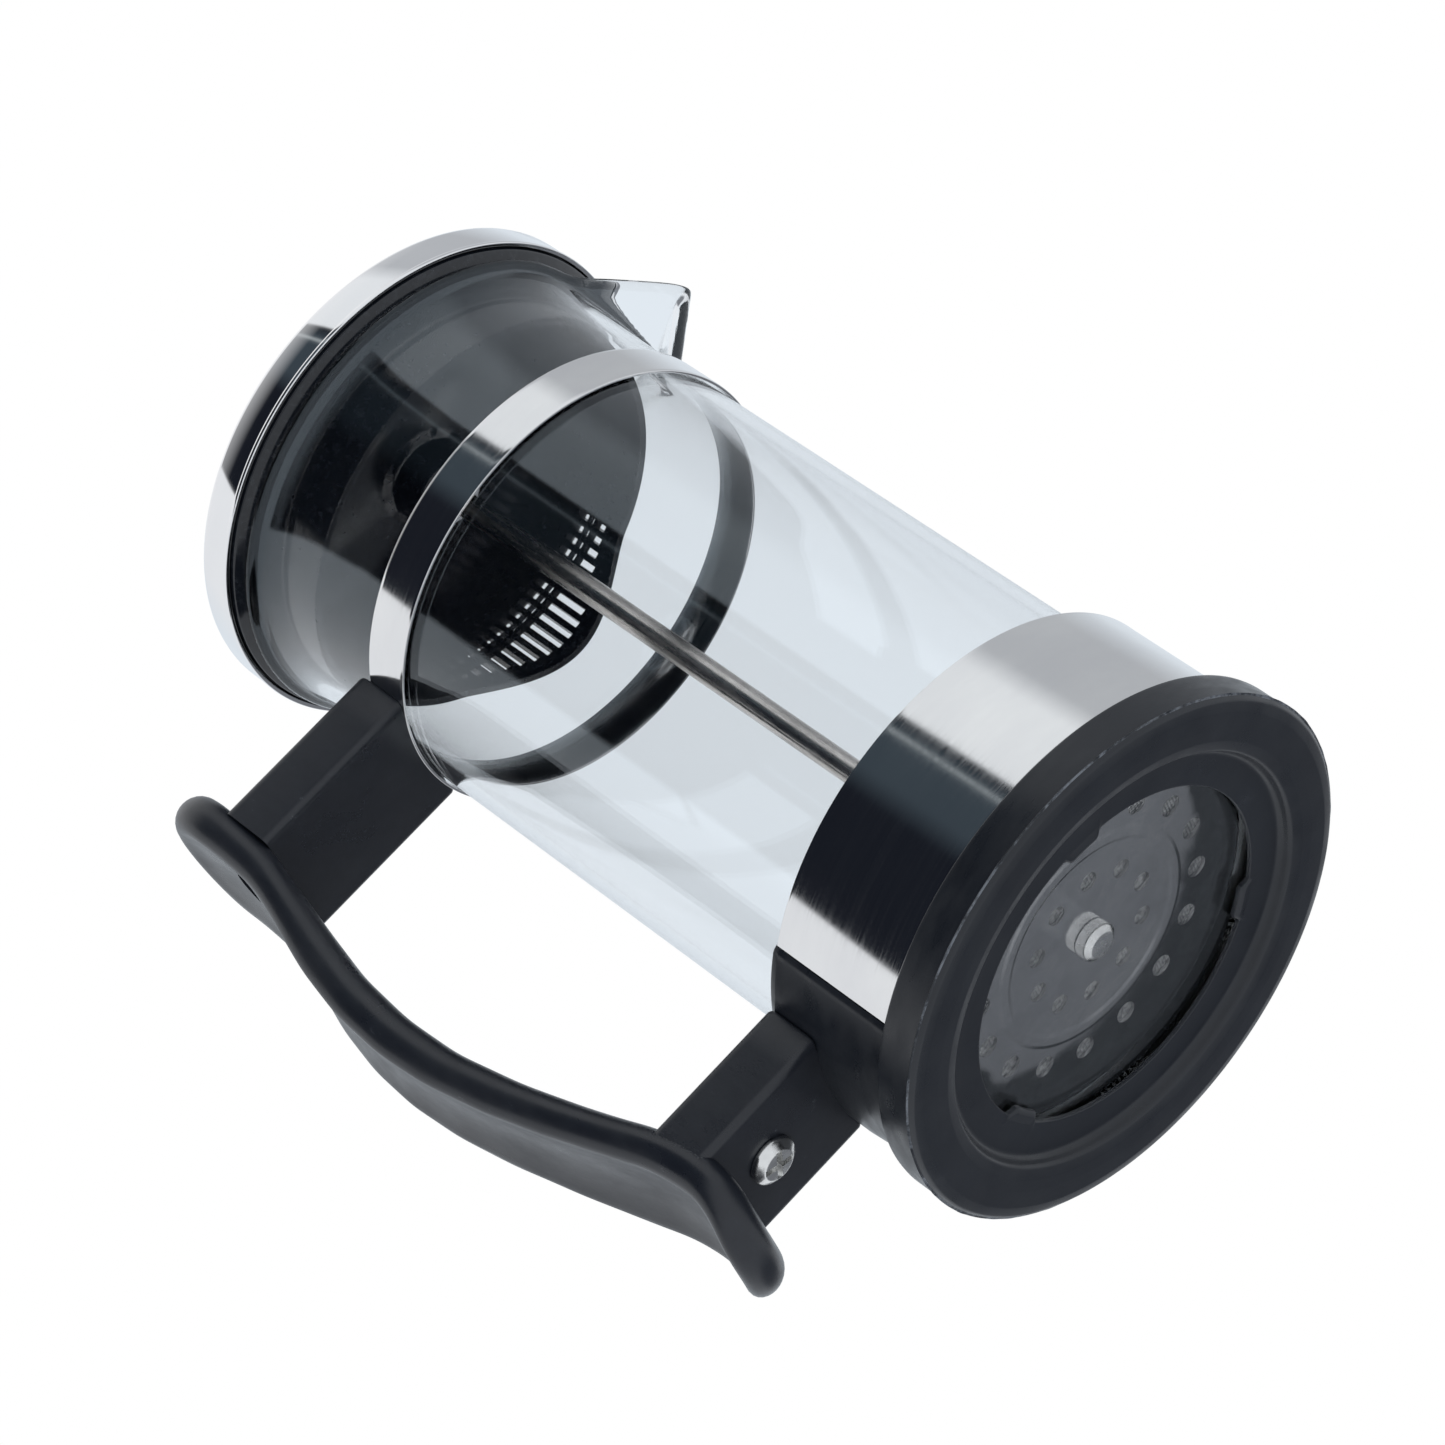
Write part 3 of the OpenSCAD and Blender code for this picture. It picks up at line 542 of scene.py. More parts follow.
# ---------------------------------------------------------------- lid seating ring
# A glossy black plastic ring on the glass rim that the lid rests and turns on.
gloss_black = material("glossy_black", (0.008, 0.010, 0.014), roughness=0.12, Specular_IOR_Level=0.5)
spread(gloss_black, noise(gloss_black, 80, (1, 1, 2), detail=7, rough=0.7), "Roughness", 0.07, 0.2)
tint(gloss_black, noise(gloss_black, 900, detail=3),
     [(0.5, (0.007, 0.009, 0.013)), (0.85, (0.026, 0.03, 0.036))])
relief(gloss_black, noise(gloss_black, 50, (1, 1, 1), detail=2), 0.1, 0.1)
seal_in, seal_foot_r, seal_r, seal_z, seal_t = 32.6, 36.2, 38.1, 143.3, 2.5
seal = shape("lid_seal_body", *spin(fillet(
    [(seal_in, seal_z), (seal_foot_r, seal_z), (seal_r, seal_z + seal_t / 2), (seal_r, seal_z + seal_t),
     (seal_in, seal_z + seal_t)], [0.4, 0.8, 0.5, 0.2, 0.3], 5), 240))
settle(seal, gloss_black, "seat", ["lid_seal"])

# ---------------------------------------------------------------- lid insert
# The glossy black moulding under the steel cap: a disc with a long boss round the rod and a
# ring that hangs into the glass. A rounded lobe on one side carries two rows of strainer slots.
insert_r, insert_in, ring_z, lobe_drop = 32.2, 30.9, 131.85, 5.5
disc_z, disc_top, disc_r = 146.15, 147.05, 38.35
boss_z, boss_r = 139.65, 6.0
slot_count, slot_pitch, slot_w, slots_at = 18, 3.9, 1.05, 90.0
lobe_half = insert_r * 0.575


def ring_outline(angle):
    """The hanging ring's section at one angle, longer where the lobe is."""
    side = insert_r * math.sin(math.radians(angle - slots_at))
    facing = math.cos(math.radians(angle - slots_at)) > 0
    share = min(1.0, abs(side) / lobe_half) if facing else 1.0
    low = ring_z - lobe_drop * math.cos(math.radians(90 * share)) ** 1.45
    return fillet([(insert_in, low), (insert_r, low), (insert_r, disc_z + 0.3), (insert_in, disc_z + 0.3)],
                  [0.3, 0.3, 0, 0], 3)


insert = shape("lid_insert_body", *spin(ring_outline, 480))


def feed(tree, made, values):
    """Gives a node's inputs their values in order, each a number or a socket. Returns its output."""
    for socket, value in zip(made.inputs, values):
        if isinstance(value, (int, float)):
            socket.default_value = value
        else:
            tree.links.new(value, socket)
    return made.outputs[0]


def tree_math(tree, kind, *values):
    """The output of a Math node."""
    made = tree.nodes.new("ShaderNodeMath")
    made.operation = kind
    return feed(tree, made, values)


def tree_point(tree, x=0.0, y=0.0, z=0.0):
    """The output of a Combine XYZ node."""
    return feed(tree, tree.nodes.new("ShaderNodeCombineXYZ"), (x, y, z))


def growing_tree(name, sizes):
    """An empty geometry tree with a named input for each (label, kind) and one for the paint."""
    tree = bpy.data.node_groups.new(name, "GeometryNodeTree")
    face = tree.interface
    face.new_socket("Geometry", in_out="INPUT", socket_type="NodeSocketGeometry")
    for label, kind in sizes:
        face.new_socket(label, in_out="INPUT", socket_type="NodeSocket" + kind)
    face.new_socket("Paint", in_out="INPUT", socket_type="NodeSocketMaterial")
    face.new_socket("Geometry", in_out="OUTPUT", socket_type="NodeSocketGeometry")
    return tree, tree.nodes, tree.links, tree.nodes.new("NodeGroupInput").outputs


def finish_tree(tree, grown, paint):
    """Ends a geometry tree in Realize Instances and Set Material."""
    nodes, links = tree.nodes, tree.links
    real = nodes.new("GeometryNodeRealizeInstances")
    links.new(grown, real.inputs["Geometry"])
    coat = nodes.new("GeometryNodeSetMaterial")
    links.new(real.outputs["Geometry"], coat.inputs["Geometry"])
    links.new(paint, coat.inputs["Material"])
    links.new(coat.outputs["Geometry"], nodes.new("NodeGroupOutput").inputs["Geometry"])
    return tree


def slot_tree(name):
    """Geometry nodes: slots standing round an arc, one row, their depth following the lobe."""
    tree, nodes, links, inputs = growing_tree(name, (
        ("Count", "Int"), ("Pitch", "Float"), ("Facing", "Float"), ("Radius", "Float"), ("Width", "Float"),
        ("Top", "Float"), ("Shallow", "Float"), ("Extra", "Float"), ("Lobe share", "Float")))
    line = nodes.new("GeometryNodeMeshLine")
    links.new(inputs["Count"], line.inputs["Count"])
    line.inputs["Offset"].default_value = (0, 0, 0)
    order = nodes.new("GeometryNodeInputIndex").outputs[0]
    middle = tree_math(tree, "DIVIDE", tree_math(tree, "SUBTRACT", inputs["Count"], 1), 2)
    off = tree_math(tree, "MULTIPLY", tree_math(tree, "SUBTRACT", order, middle), inputs["Pitch"])
    turn = tree_math(tree, "RADIANS", tree_math(tree, "ADD", off, inputs["Facing"]))
    aside = tree_math(tree, "ABSOLUTE", tree_math(tree, "SINE", tree_math(tree, "RADIANS", off)))
    reach = tree_math(tree, "MINIMUM", tree_math(tree, "MULTIPLY", aside, inputs["Lobe share"]), 1.0)
    swing = tree_math(tree, "COSINE", tree_math(tree, "MULTIPLY", reach, math.pi / 2))
    extra = tree_math(tree, "MULTIPLY", tree_math(tree, "MULTIPLY", swing, swing), inputs["Extra"])
    depth = tree_math(tree, "ADD", inputs["Shallow"], extra)
    # a block one metre tall hangs from its point, and each copy is scaled to its own depth
    block = nodes.new("GeometryNodeMeshCube")
    links.new(tree_point(tree, 5 * MM, inputs["Width"], 1.0), block.inputs["Size"])
    hang = nodes.new("GeometryNodeTransform")
    links.new(block.outputs["Mesh"], hang.inputs["Geometry"])
    links.new(tree_point(tree, x=inputs["Radius"], z=-0.5), hang.inputs["Translation"])
    placed = nodes.new("GeometryNodeSetPosition")
    links.new(line.outputs["Mesh"], placed.inputs["Geometry"])
    links.new(tree_point(tree, z=inputs["Top"]), placed.inputs["Offset"])
    copies = nodes.new("GeometryNodeInstanceOnPoints")
    links.new(placed.outputs["Geometry"], copies.inputs["Points"])
    links.new(hang.outputs["Geometry"], copies.inputs["Instance"])
    links.new(tree_point(tree, z=turn), copies.inputs["Rotation"])
    links.new(tree_point(tree, 1.0, 1.0, depth), copies.inputs["Scale"])
    return finish_tree(tree, copies.outputs["Instances"], inputs["Paint"])


def grow(name, tree, values):
    """Runs a geometry tree with the given inputs and keeps the result as a plain mesh."""
    holder = bpy.data.objects.new(name, bpy.data.meshes.new(name))
    bpy.context.scene.collection.objects.link(holder)
    change = holder.modifiers.new("grow", "NODES")
    change.node_group = tree
    for item in tree.interface.items_tree:
        if item.in_out == "INPUT" and item.name in values:
            change[item.identifier] = values[item.name]
    bpy.context.view_layer.update()
    held = holder.evaluated_get(bpy.context.evaluated_depsgraph_get())
    mesh = bpy.data.meshes.new_from_object(held)
    holder.modifiers.clear()
    holder.data = mesh
    return holder


slots = slot_tree("strainer_slots")
row_z = ring_z + 4.9
# each row of slots: where it ends at the top, its least depth and what the lobe adds to it
slot_rows = (("upper_slots", row_z + 4.1, 3.5, 0.0), ("lower_slots", row_z, 1.9, 5.9))
for row, row_top, shallow, extra in slot_rows:
    cut(insert, grow(row, slots, {
        "Count": slot_count, "Pitch": slot_pitch, "Facing": slots_at,
        "Radius": (insert_in + insert_r) / 2 * MM, "Width": slot_w * MM, "Top": row_top * MM,
        "Shallow": shallow * MM, "Extra": extra * MM, "Lobe share": insert_r / lobe_half,
        "Paint": gloss_black}))
boss_in = 3.4
add_to(insert, *spin(fillet(
    [(boss_in, boss_z), (boss_r - 0.4, boss_z), (boss_r, boss_z + 0.6), (boss_r + 0.3, disc_z - 0.8),
     (8, disc_z), (disc_r, disc_z), (disc_r, disc_top), (boss_in, disc_top)],
    [0.2, 0.3, 0.4, 0.8, 0.8, 0.2, 0.2, 0.2], 4), 240))
settle(insert, gloss_black, "lid", ["lid_insert"])

# ---------------------------------------------------------------- lid cap
# A chromed steel cap pressed over the insert, with a straight skirt, a fine rolled bead at its
# lower edge and a shallow domed top.
cap_z, cap_top, cap_r, cap_t, dome_z = 145.0, 151.0, 39.0, 0.6, 156.5
chrome = material("lid_chrome", (0.86, 0.86, 0.87), metallic=1.0, roughness=0.04)
spread(chrome, noise(chrome, 70, (1, 1, 1.5), detail=8, rough=0.7), "Roughness", 0.02, 0.075)
tint(chrome, noise(chrome, 30, detail=4), [(0.3, (0.82, 0.82, 0.83)), (0.7, (0.9, 0.9, 0.9))])
relief(chrome, noise(chrome, 26, (1, 1, 1), detail=2), 0.16, 0.15)
hem_out, hem_h = 0.12, 0.55
dome = []
for k in range(25):
    up = math.sin(math.radians(90 * k / 24))
    dome.append((cap_r - 1.2 - (cap_r - 5.0) * k / 24, cap_top + (dome_z - cap_top) * up))
shell = fillet([(cap_r - cap_t, cap_z + 0.1), (cap_r + hem_out, cap_z), (cap_r + hem_out, cap_z + hem_h),
                (cap_r, cap_z + 0.8), (cap_r, cap_top - 0.9)], [0.1, 0.25, 0.25, 0.1, 0], 4)
shell += [(cap_r - 0.12, cap_top - 0.5), (cap_r - 0.5, cap_top - 0.15)] + dome
shell += [(r, z - cap_t) for r, z in reversed(dome)] + [(cap_r - cap_t, cap_top - 1.2)]
cap = shape("lid_cap_body", *spin(shell, 360), 60)
settle(cap, chrome, "lid", ["lid_cap"])

# ---------------------------------------------------------------- lid bush
# A turned steel bush through the lid's centre that guides the rod, with a small flange on top.
bush_in, bush_out, bush_low, bush_top = 1.95, 3.35, boss_z - 0.8, 157.7
lower_rim, upper_rim = 4.7, 4.95
bush = shape("lid_bush_body", *spin(fillet(
    [(bush_in, bush_low), (lower_rim, bush_low), (lower_rim, boss_z - 0.1), (bush_out, boss_z - 0.05),
     (bush_out, dome_z + 0.05), (upper_rim, dome_z + 0.05), (upper_rim, bush_top - 0.1), (3.4, bush_top),
     (bush_in, bush_top)], [0.1, 0.2, 0.1, 0, 0, 0.15, 0.5, 0.2, 0.3], 4), 96))
settle(bush, polished_steel, "lid", ["lid_bush"])

# ---------------------------------------------------------------- plunger rod
# A satin steel rod, threaded into the hub below the plates and the knob on top.
# Its drawn surface is blotchy, with fine streaks along its length.
rod_steel = material("rod_steel", (0.62, 0.6, 0.58), metallic=1.0, roughness=0.26)
tint(rod_steel, noise(rod_steel, 260, (1, 1, 0.25), detail=9, rough=0.8),
     [(0.3, (0.30, 0.29, 0.28)), (0.5, (0.56, 0.54, 0.52)), (0.7, (0.78, 0.76, 0.74))])
spread(rod_steel, noise(rod_steel, 700, (1, 1, 0.1), detail=6), "Roughness", 0.16, 0.36)
relief(rod_steel, noise(rod_steel, 900, (1, 1, 0.15), detail=5), 0.02, 0.4)
rod_low, rod_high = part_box("plunger_rod")
rod_z0, rod_z1 = rod_low[2] / MM, rod_high[2] / MM
rod_r, rod_hole, rod_bevel = 1.9, 1.95, 0.3
rod_side = [(rod_r, z) for z in np.linspace(rod_z0 + 1, rod_z1 - 1, 24)]
rod = shape("plunger_rod_body", *spin(
    [(0, rod_z0), (rod_r - rod_bevel, rod_z0), (rod_r, rod_z0 + rod_bevel)] + rod_side
    + [(rod_r, rod_z1 - rod_bevel), (rod_r - rod_bevel, rod_z1), (0, rod_z1)], 64))
settle(rod, rod_steel, "plunger", ["plunger_rod"])

# ---------------------------------------------------------------- plunger plates
# Two pressed stainless plates clamp the woven filter between them: a dished upper plate with
# round perforations and a turned up edge, and a flat cross plate with a pressed step.
plate_steel = material("plate_steel", (0.6, 0.6, 0.6), metallic=1.0, roughness=0.16)
tint(plate_steel, noise(plate_steel, 60, detail=6), [(0.3, (0.5, 0.5, 0.51)), (0.7, (0.68, 0.68, 0.68))])
spread(plate_steel, noise(plate_steel, 120, (1, 1, 1), detail=8, rough=0.7), "Roughness", 0.09, 0.22)
relief(plate_steel, noise(plate_steel, 60, detail=3), 0.05, 0.2)
plate_r, plate_t, top_z, cross_z, mesh_z = 30.2, 0.6, 9.85, 8.9, 9.55


def hole_tree(name):
    """Geometry nodes: round punches standing in a ring."""
    tree, nodes, links, inputs = growing_tree(name, (
        ("Count", "Int"), ("Ring radius", "Float"), ("Hole radius", "Float"), ("Height", "Float")))
    ring = nodes.new("GeometryNodeMeshCircle")
    links.new(inputs["Count"], ring.inputs["Vertices"])
    links.new(inputs["Ring radius"], ring.inputs["Radius"])
    punch = nodes.new("GeometryNodeMeshCylinder")
    punch.inputs["Vertices"].default_value = 24
    punch.inputs["Depth"].default_value = 3 * MM
    links.new(inputs["Hole radius"], punch.inputs["Radius"])
    lift = nodes.new("GeometryNodeSetPosition")
    links.new(ring.outputs["Mesh"], lift.inputs["Geometry"])
    links.new(tree_point(tree, z=inputs["Height"]), lift.inputs["Offset"])
    copies = nodes.new("GeometryNodeInstanceOnPoints")
    links.new(lift.outputs["Geometry"], copies.inputs["Points"])
    links.new(punch.outputs["Mesh"], copies.inputs["Instance"])
    return finish_tree(tree, copies.outputs["Instances"], inputs["Paint"])


punches = hole_tree("round_punches")


def punch(obj, count, ring, hole, z):
    """Punches a ring of round holes through a plate."""
    cut(obj, grow("punches", punches, {"Count": count, "Ring radius": ring * MM, "Hole radius": hole * MM,
                                       "Height": z * MM, "Paint": plate_steel}))


turn_up = 4
top_plate = shape("top_plate_body", *spin(fillet(
    [(rod_hole, top_z), (plate_r - 1, top_z), (plate_r, top_z + 1), (plate_r, top_z + turn_up),
     (plate_r - plate_t, top_z + turn_up), (plate_r - plate_t, top_z + 1.2), (plate_r - 1.2, top_z + plate_t),
     (rod_hole, top_z + plate_t)], [0, 0.5, 0.5, 0.2, 0.2, 0.4, 0.4, 0], 3), 240))
punch(top_plate, 12, plate_r * 0.66, 2.2, top_z)
settle(top_plate, plate_steel, "plunger", ["top_plate"])
step_r, step_h = 16.5, 0.16
cross_plate = shape("cross_plate_body", *spin(fillet(
    [(rod_hole, cross_z), (step_r - 1.2, cross_z), (step_r - 0.6, cross_z - step_h),
     (step_r + 0.6, cross_z - step_h), (step_r + 1.2, cross_z), (plate_r - 1, cross_z),
     (plate_r - 1, cross_z + plate_t), (rod_hole, cross_z + plate_t)],
    [0, 0.5, 0.3, 0.3, 0.5, 0.2, 0.2, 0], 3), 240))
punch(cross_plate, 10, plate_r * 0.35, 1.5, cross_z)
punch(cross_plate, 16, plate_r * 0.69, 1.7, cross_z)
settle(cross_plate, plate_steel, "plunger", ["cross_plate"])

# ---------------------------------------------------------------- filter mesh
# A disc of fine woven stainless wire clamped between the two plates.
mesh_steel = material("mesh_steel", (0.5, 0.5, 0.5), metallic=0.9, roughness=0.35)
for stretch in ((1, 0, 0), (0, 1, 0)):
    where = mesh_steel.node_tree.nodes.new("ShaderNodeTexCoord")
    turn = mesh_steel.node_tree.nodes.new("ShaderNodeMapping")
    turn.inputs["Scale"].default_value = stretch
    wires = mesh_steel.node_tree.nodes.new("ShaderNodeTexWave")
    wires.bands_direction = "X" if stretch[0] else "Y"
    wires.inputs["Scale"].default_value = 600
    mesh_steel.node_tree.links.new(where.outputs["Object"], turn.inputs["Vector"])
    mesh_steel.node_tree.links.new(turn.outputs["Vector"], wires.inputs["Vector"])
    relief(mesh_steel, wires.outputs["Fac"], 0.1, 0.9)
tint(mesh_steel, noise(mesh_steel, 1500, detail=2), [(0.35, (0.25, 0.25, 0.25)), (0.65, (0.6, 0.6, 0.6))])
mesh_top = mesh_z + 0.25
filter_disc = shape("filter_mesh_body", *spin(fillet(
    [(rod_hole, mesh_z), (plate_r, mesh_z), (plate_r, mesh_top), (rod_hole, mesh_top)], 0.05, 2), 240))
settle(filter_disc, mesh_steel, "plunger", ["filter_mesh"])

# ---------------------------------------------------------------- edge spring
# A close wound steel coil bent into a ring round the upper plate, which seals against the glass.


def coil_tree(name):
    """Geometry nodes: a wire wound round a circle, then swept into a tube."""
    tree, nodes, links, inputs = growing_tree(name, (
        ("Points", "Int"), ("Turns", "Float"), ("Ring", "Float"), ("Coil", "Float"), ("Wire", "Float"),
        ("Height", "Float")))
    path = nodes.new("GeometryNodeCurvePrimitiveCircle")
    links.new(inputs["Points"], path.inputs["Resolution"])
    path.inputs["Radius"].default_value = 0.01
    order = nodes.new("GeometryNodeInputIndex").outputs[0]
    way = tree_math(tree, "MULTIPLY", tree_math(tree, "DIVIDE", order, inputs["Points"]), 2 * math.pi)
    wind = tree_math(tree, "MULTIPLY", way, inputs["Turns"])
    sway = tree_math(tree, "MULTIPLY", tree_math(tree, "COSINE", wind), inputs["Coil"])
    rise = tree_math(tree, "MULTIPLY", tree_math(tree, "SINE", wind), inputs["Coil"])
    reach = tree_math(tree, "ADD", inputs["Ring"], sway)
    spot = tree_point(tree, tree_math(tree, "MULTIPLY", reach, tree_math(tree, "COSINE", way)),
                      tree_math(tree, "MULTIPLY", reach, tree_math(tree, "SINE", way)),
                      tree_math(tree, "ADD", inputs["Height"], rise))
    wound = nodes.new("GeometryNodeSetPosition")
    links.new(path.outputs["Curve"], wound.inputs["Geometry"])
    links.new(spot, wound.inputs["Position"])
    round_wire = nodes.new("GeometryNodeCurvePrimitiveCircle")
    round_wire.inputs["Resolution"].default_value = 6
    links.new(inputs["Wire"], round_wire.inputs["Radius"])
    tube = nodes.new("GeometryNodeCurveToMesh")
    links.new(wound.outputs["Geometry"], tube.inputs["Curve"])
    links.new(round_wire.outputs["Curve"], tube.inputs["Profile Curve"])
    return finish_tree(tree, tube.outputs["Mesh"], inputs["Paint"])


coil = grow("edge_spring_body", coil_tree("wound_ring"),
            {"Points": 2800, "Turns": 200.0, "Ring": 31.25 * MM, "Coil": 0.75 * MM, "Wire": 0.24 * MM,
             "Height": (top_z + 2) * MM, "Paint": plate_steel})
work = bmesh.new()
work.from_mesh(coil.data)
bmesh.ops.recalc_face_normals(work, faces=work.faces)
work.to_mesh(coil.data)
work.free()
coil.data.shade_smooth()
settle(coil, plate_steel, "plunger", ["edge_spring"])

# ---------------------------------------------------------------- hub nut and rod collar
# A domed nut under the plates and a plain collar above them clamp the stack on the rod.
hub_z, hub_r, hub_h, collar_z = 6.35, 3.0, 2.5, 10.5
hub_top = hub_z + hub_h
hub_outline = fillet([(0.01, hub_z), (hub_r - 0.9, hub_z + 0.1), (hub_r, hub_z + 0.8), (hub_r, hub_top),
                      (0.01, hub_top)], [0, 0.5, 0.4, 0.1, 0], 4)
hub = shape("hub_nut_body", *spin([(0, hub_z)] + hub_outline + [(0, hub_top)], 64))
settle(hub, screw_steel, "plunger", ["hub_nut"])
collar_r, collar_top = 3.2, collar_z + 4.5
collar = shape("rod_collar_body", *spin(fillet(
    [(rod_hole, collar_z), (collar_r, collar_z), (collar_r, collar_top), (rod_hole, collar_top)],
    [0.1, 0.1, 0.6, 0.2], 4), 64))
settle(collar, plate_steel, "plunger", ["rod_collar"])

# ---------------------------------------------------------------- knob and its ferrule
# A flattened glossy black plastic knob screwed on the rod over a small polished ferrule.
knob_low, knob_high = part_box("knob")
ferrule_low, ferrule_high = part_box("knob_ferrule")
knob_z, knob_top, knob_r = knob_low[2] / MM, knob_high[2] / MM, knob_high[0] / MM
ferrule_z, ferrule_top, ferrule_r = ferrule_low[2] / MM, ferrule_high[2] / MM, ferrule_high[0] / MM
ferrule = shape("knob_ferrule_body", *spin(fillet(
    [(rod_hole, ferrule_z), (ferrule_r - 1.3, ferrule_z), (ferrule_r, ferrule_z + 0.7),
     (ferrule_r, ferrule_z + 1.5), (ferrule_r - 1.2, ferrule_top), (rod_hole, ferrule_top)],
    [0, 0.4, 0.3, 0.3, 0.4, 0], 4), 96))
settle(ferrule, polished_steel, "plunger", ["knob_ferrule"])
# the knob's profile, as shares of its radius and height
knob_curve = [(0, 0), (0.5, 0), (0.77, 0.11), (0.95, 0.29), (1, 0.48), (0.96, 0.65), (0.84, 0.81),
              (0.62, 0.93), (0.33, 0.985), (0, 1)]
knob_rows = fillet([(r * knob_r, knob_z + h * (knob_top - knob_z)) for r, h in knob_curve],
                   [0, 0.5] + [3.0] * 7 + [0], 4)
knob = shape("knob_body", *spin(knob_rows, 128))
settle(knob, gloss_black, "plunger", ["knob"])

# ---------------------------------------------------------------- stage
# A pale floor that only shows from above, and an even studio of white walls with one dark side
# for the steel and glass to mirror.
floor_half, floor_drop = 4.0, 0.0003
floor_corners = [(x * floor_half, y * floor_half, -floor_drop)
                 for x, y in ((-1, -1), (1, -1), (1, 1), (-1, 1))]
floor_mesh = bpy.data.meshes.new("floor")
floor_mesh.from_pydata(floor_corners, [], [(0, 1, 2, 3)])
floor = bpy.data.objects.new("floor", floor_mesh)
bpy.context.scene.collection.objects.link(floor)
floor_paint = material("floor_paint", (0.8, 0.8, 0.8), roughness=0.9)
tree = floor_paint.node_tree
side = tree.nodes.new("ShaderNodeNewGeometry")
clear = tree.nodes.new("ShaderNodeBsdfTransparent")
either = tree.nodes.new("ShaderNodeMixShader")
tree.links.new(side.outputs["Backfacing"], either.inputs[0])
tree.links.new(tree.nodes["Principled BSDF"].outputs[0], either.inputs[1])
tree.links.new(clear.outputs[0], either.inputs[2])
tree.links.new(either.outputs[0], tree.nodes["Material Output"].inputs["Surface"])
floor_shader = tree.nodes["Principled BSDF"].inputs
floor_shader["Emission Color"].default_value = (1, 1, 1, 1)
floor_shader["Emission Strength"].default_value = 0.35
floor_mesh.materials.append(floor_paint)
floor.visible_shadow = False
floor.visible_diffuse = False
floor.visible_glossy = False
floor.visible_transmission = False

world = bpy.data.worlds.new("studio")
bpy.context.scene.world = world
world.use_nodes = True
tree = world.node_tree
tree.nodes.clear()


def node(kind, **inputs):
    """A node of the studio's tree with some of its inputs set."""
    made = tree.nodes.new(kind)
    for key, value in inputs.items():
        made.inputs[key.replace("_", " ")].default_value = value
    return made


def ramp_node(source, stops):
    """Colours along a value, from (position, colour) stops."""
    made = tree.nodes.new("ShaderNodeValToRGB")
    points = made.color_ramp.elements
    while len(points) < len(stops):
        points.new(0.5)
    for point, (position, colour) in zip(points, stops):
        point.position = position
        point.color = (*colour, 1)
    tree.links.new(source, made.inputs["Fac"])
    return made.outputs["Color"]


direction = tree.nodes.new("ShaderNodeTexCoord").outputs["Generated"]
parts = tree.nodes.new("ShaderNodeSeparateXYZ")
tree.links.new(direction, parts.inputs[0])
heading = tree_math(tree, "ARCTAN2", parts.outputs["Y"], parts.outputs["X"])
compass = tree_math(tree, "ADD", tree_math(tree, "DIVIDE", heading, 2 * math.pi), 0.5)
where = lambda degrees: (degrees + 180) / 360
white, bright, behind, beneath = (0.84, 0.87, 0.9), (0.86, 0.88, 0.91), (0.76, 0.82, 0.88), (0.8, 0.83, 0.87)
grey, streak, blue, dark = (0.5, 0.52, 0.55), (0.42, 0.46, 0.48), (0.045, 0.06, 0.075), (0.01, 0.012, 0.018)
shade = (0.17, 0.18, 0.2)
walls = ramp_node(compass, [
    (0, bright), (where(-164), bright), (where(-163), dark), (where(-112), dark), (where(-102), blue),
    (where(-84.5), blue), (where(-83.2), streak), (where(-81.5), blue), (where(-76), dark),
    (where(-75), white), (where(-40), white), (where(-28), grey), (where(15), grey), (where(45), behind),
    (where(105), behind), (where(140), bright), (1, bright)])
facing = tree.nodes.new("ShaderNodeVectorMath")
facing.operation = "DOT_PRODUCT"
facing.inputs[1].default_value = (0.2285, 0.797, -0.559)
tree.links.new(direction, facing.inputs[0])
below = ramp_node(facing.outputs["Value"], [
    (0, beneath), (0.83, beneath), (0.93, shade), (1, shade)])
lift = node("ShaderNodeMapRange", From_Min=0.02, From_Max=0.2)
tree.links.new(parts.outputs["Z"], lift.inputs["Value"])
mix = tree.nodes.new("ShaderNodeMix")
mix.data_type = "RGBA"
tree.links.new(lift.outputs["Result"], mix.inputs["Factor"])
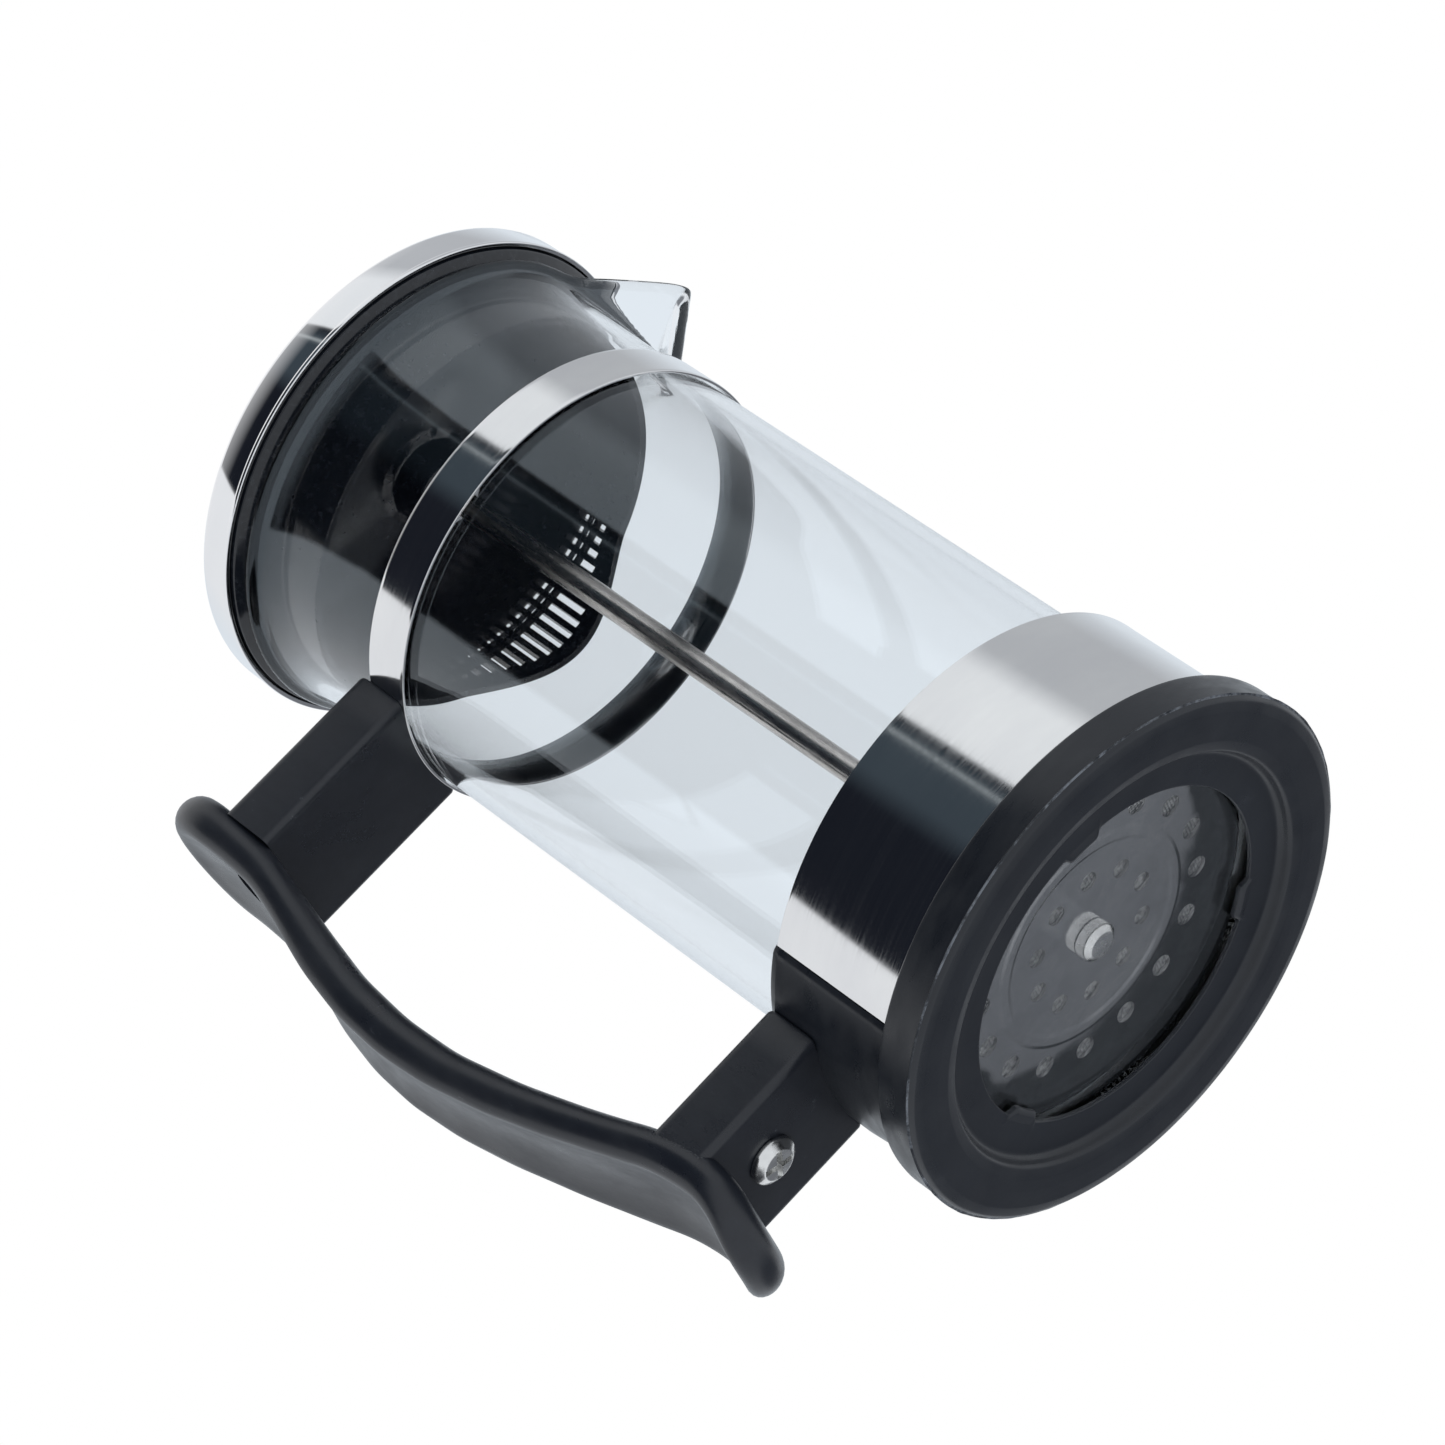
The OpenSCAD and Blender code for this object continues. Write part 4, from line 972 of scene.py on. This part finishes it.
# a Mix node's colour sockets can only be told apart by number
colour_a, colour_b, colour_out = 6, 7, 2
tree.links.new(below, mix.inputs[colour_a])
tree.links.new(walls, mix.inputs[colour_b])
top = node("ShaderNodeMapRange", From_Min=0.75, From_Max=0.95)
tree.links.new(parts.outputs["Z"], top.inputs["Value"])
sky = tree.nodes.new("ShaderNodeMix")
sky.data_type = "RGBA"
sky.inputs[colour_b].default_value = (0.95, 0.96, 0.98, 1)
tree.links.new(top.outputs["Result"], sky.inputs["Factor"])
tree.links.new(mix.outputs[colour_out], sky.inputs[colour_a])
room = node("ShaderNodeBackground", Strength=1.0)
tree.links.new(sky.outputs[colour_out], room.inputs["Color"])
paper = node("ShaderNodeBackground", Strength=1.0, Color=(1, 1, 1, 1))
seen = tree.nodes.new("ShaderNodeLightPath")
choice = tree.nodes.new("ShaderNodeMixShader")
tree.links.new(seen.outputs["Is Camera Ray"], choice.inputs[0])
tree.links.new(room.outputs[0], choice.inputs[1])
tree.links.new(paper.outputs[0], choice.inputs[2])
out = tree.nodes.new("ShaderNodeOutputWorld")
tree.links.new(choice.outputs[0], out.inputs["Surface"])

# ---------------------------------------------------------------- camera
# A long lens that looks up at the foot from below, rolled so that the press leans to the left.
lens = bpy.data.cameras.new("camera")
lens.lens, lens.sensor_width = 139.7246, 36.0
lens.dof.use_dof = False
lens.clip_end = 20
camera = bpy.data.objects.new("camera", lens)
bpy.context.scene.collection.objects.link(camera)
bpy.context.scene.camera = camera
az, el, turned = (math.radians(v) for v in (-105.7066, -34.4465, 55.0623))
target, distance = Vector((-0.004566, 0.001284, 0.076922)), 0.79789
outward = Vector((math.cos(el) * math.cos(az), math.cos(el) * math.sin(az), math.sin(el)))
forward = -outward
upright = (Vector((0, 0, 1)) - forward * forward.z).normalized()
up = upright * math.cos(turned) + forward.cross(upright) * math.sin(turned)
pose = Matrix((forward.cross(up), up, outward)).transposed().to_4x4()
pose.translation = target + outward * distance
camera.matrix_world = pose
bpy.context.scene.view_settings.view_transform = "Standard"
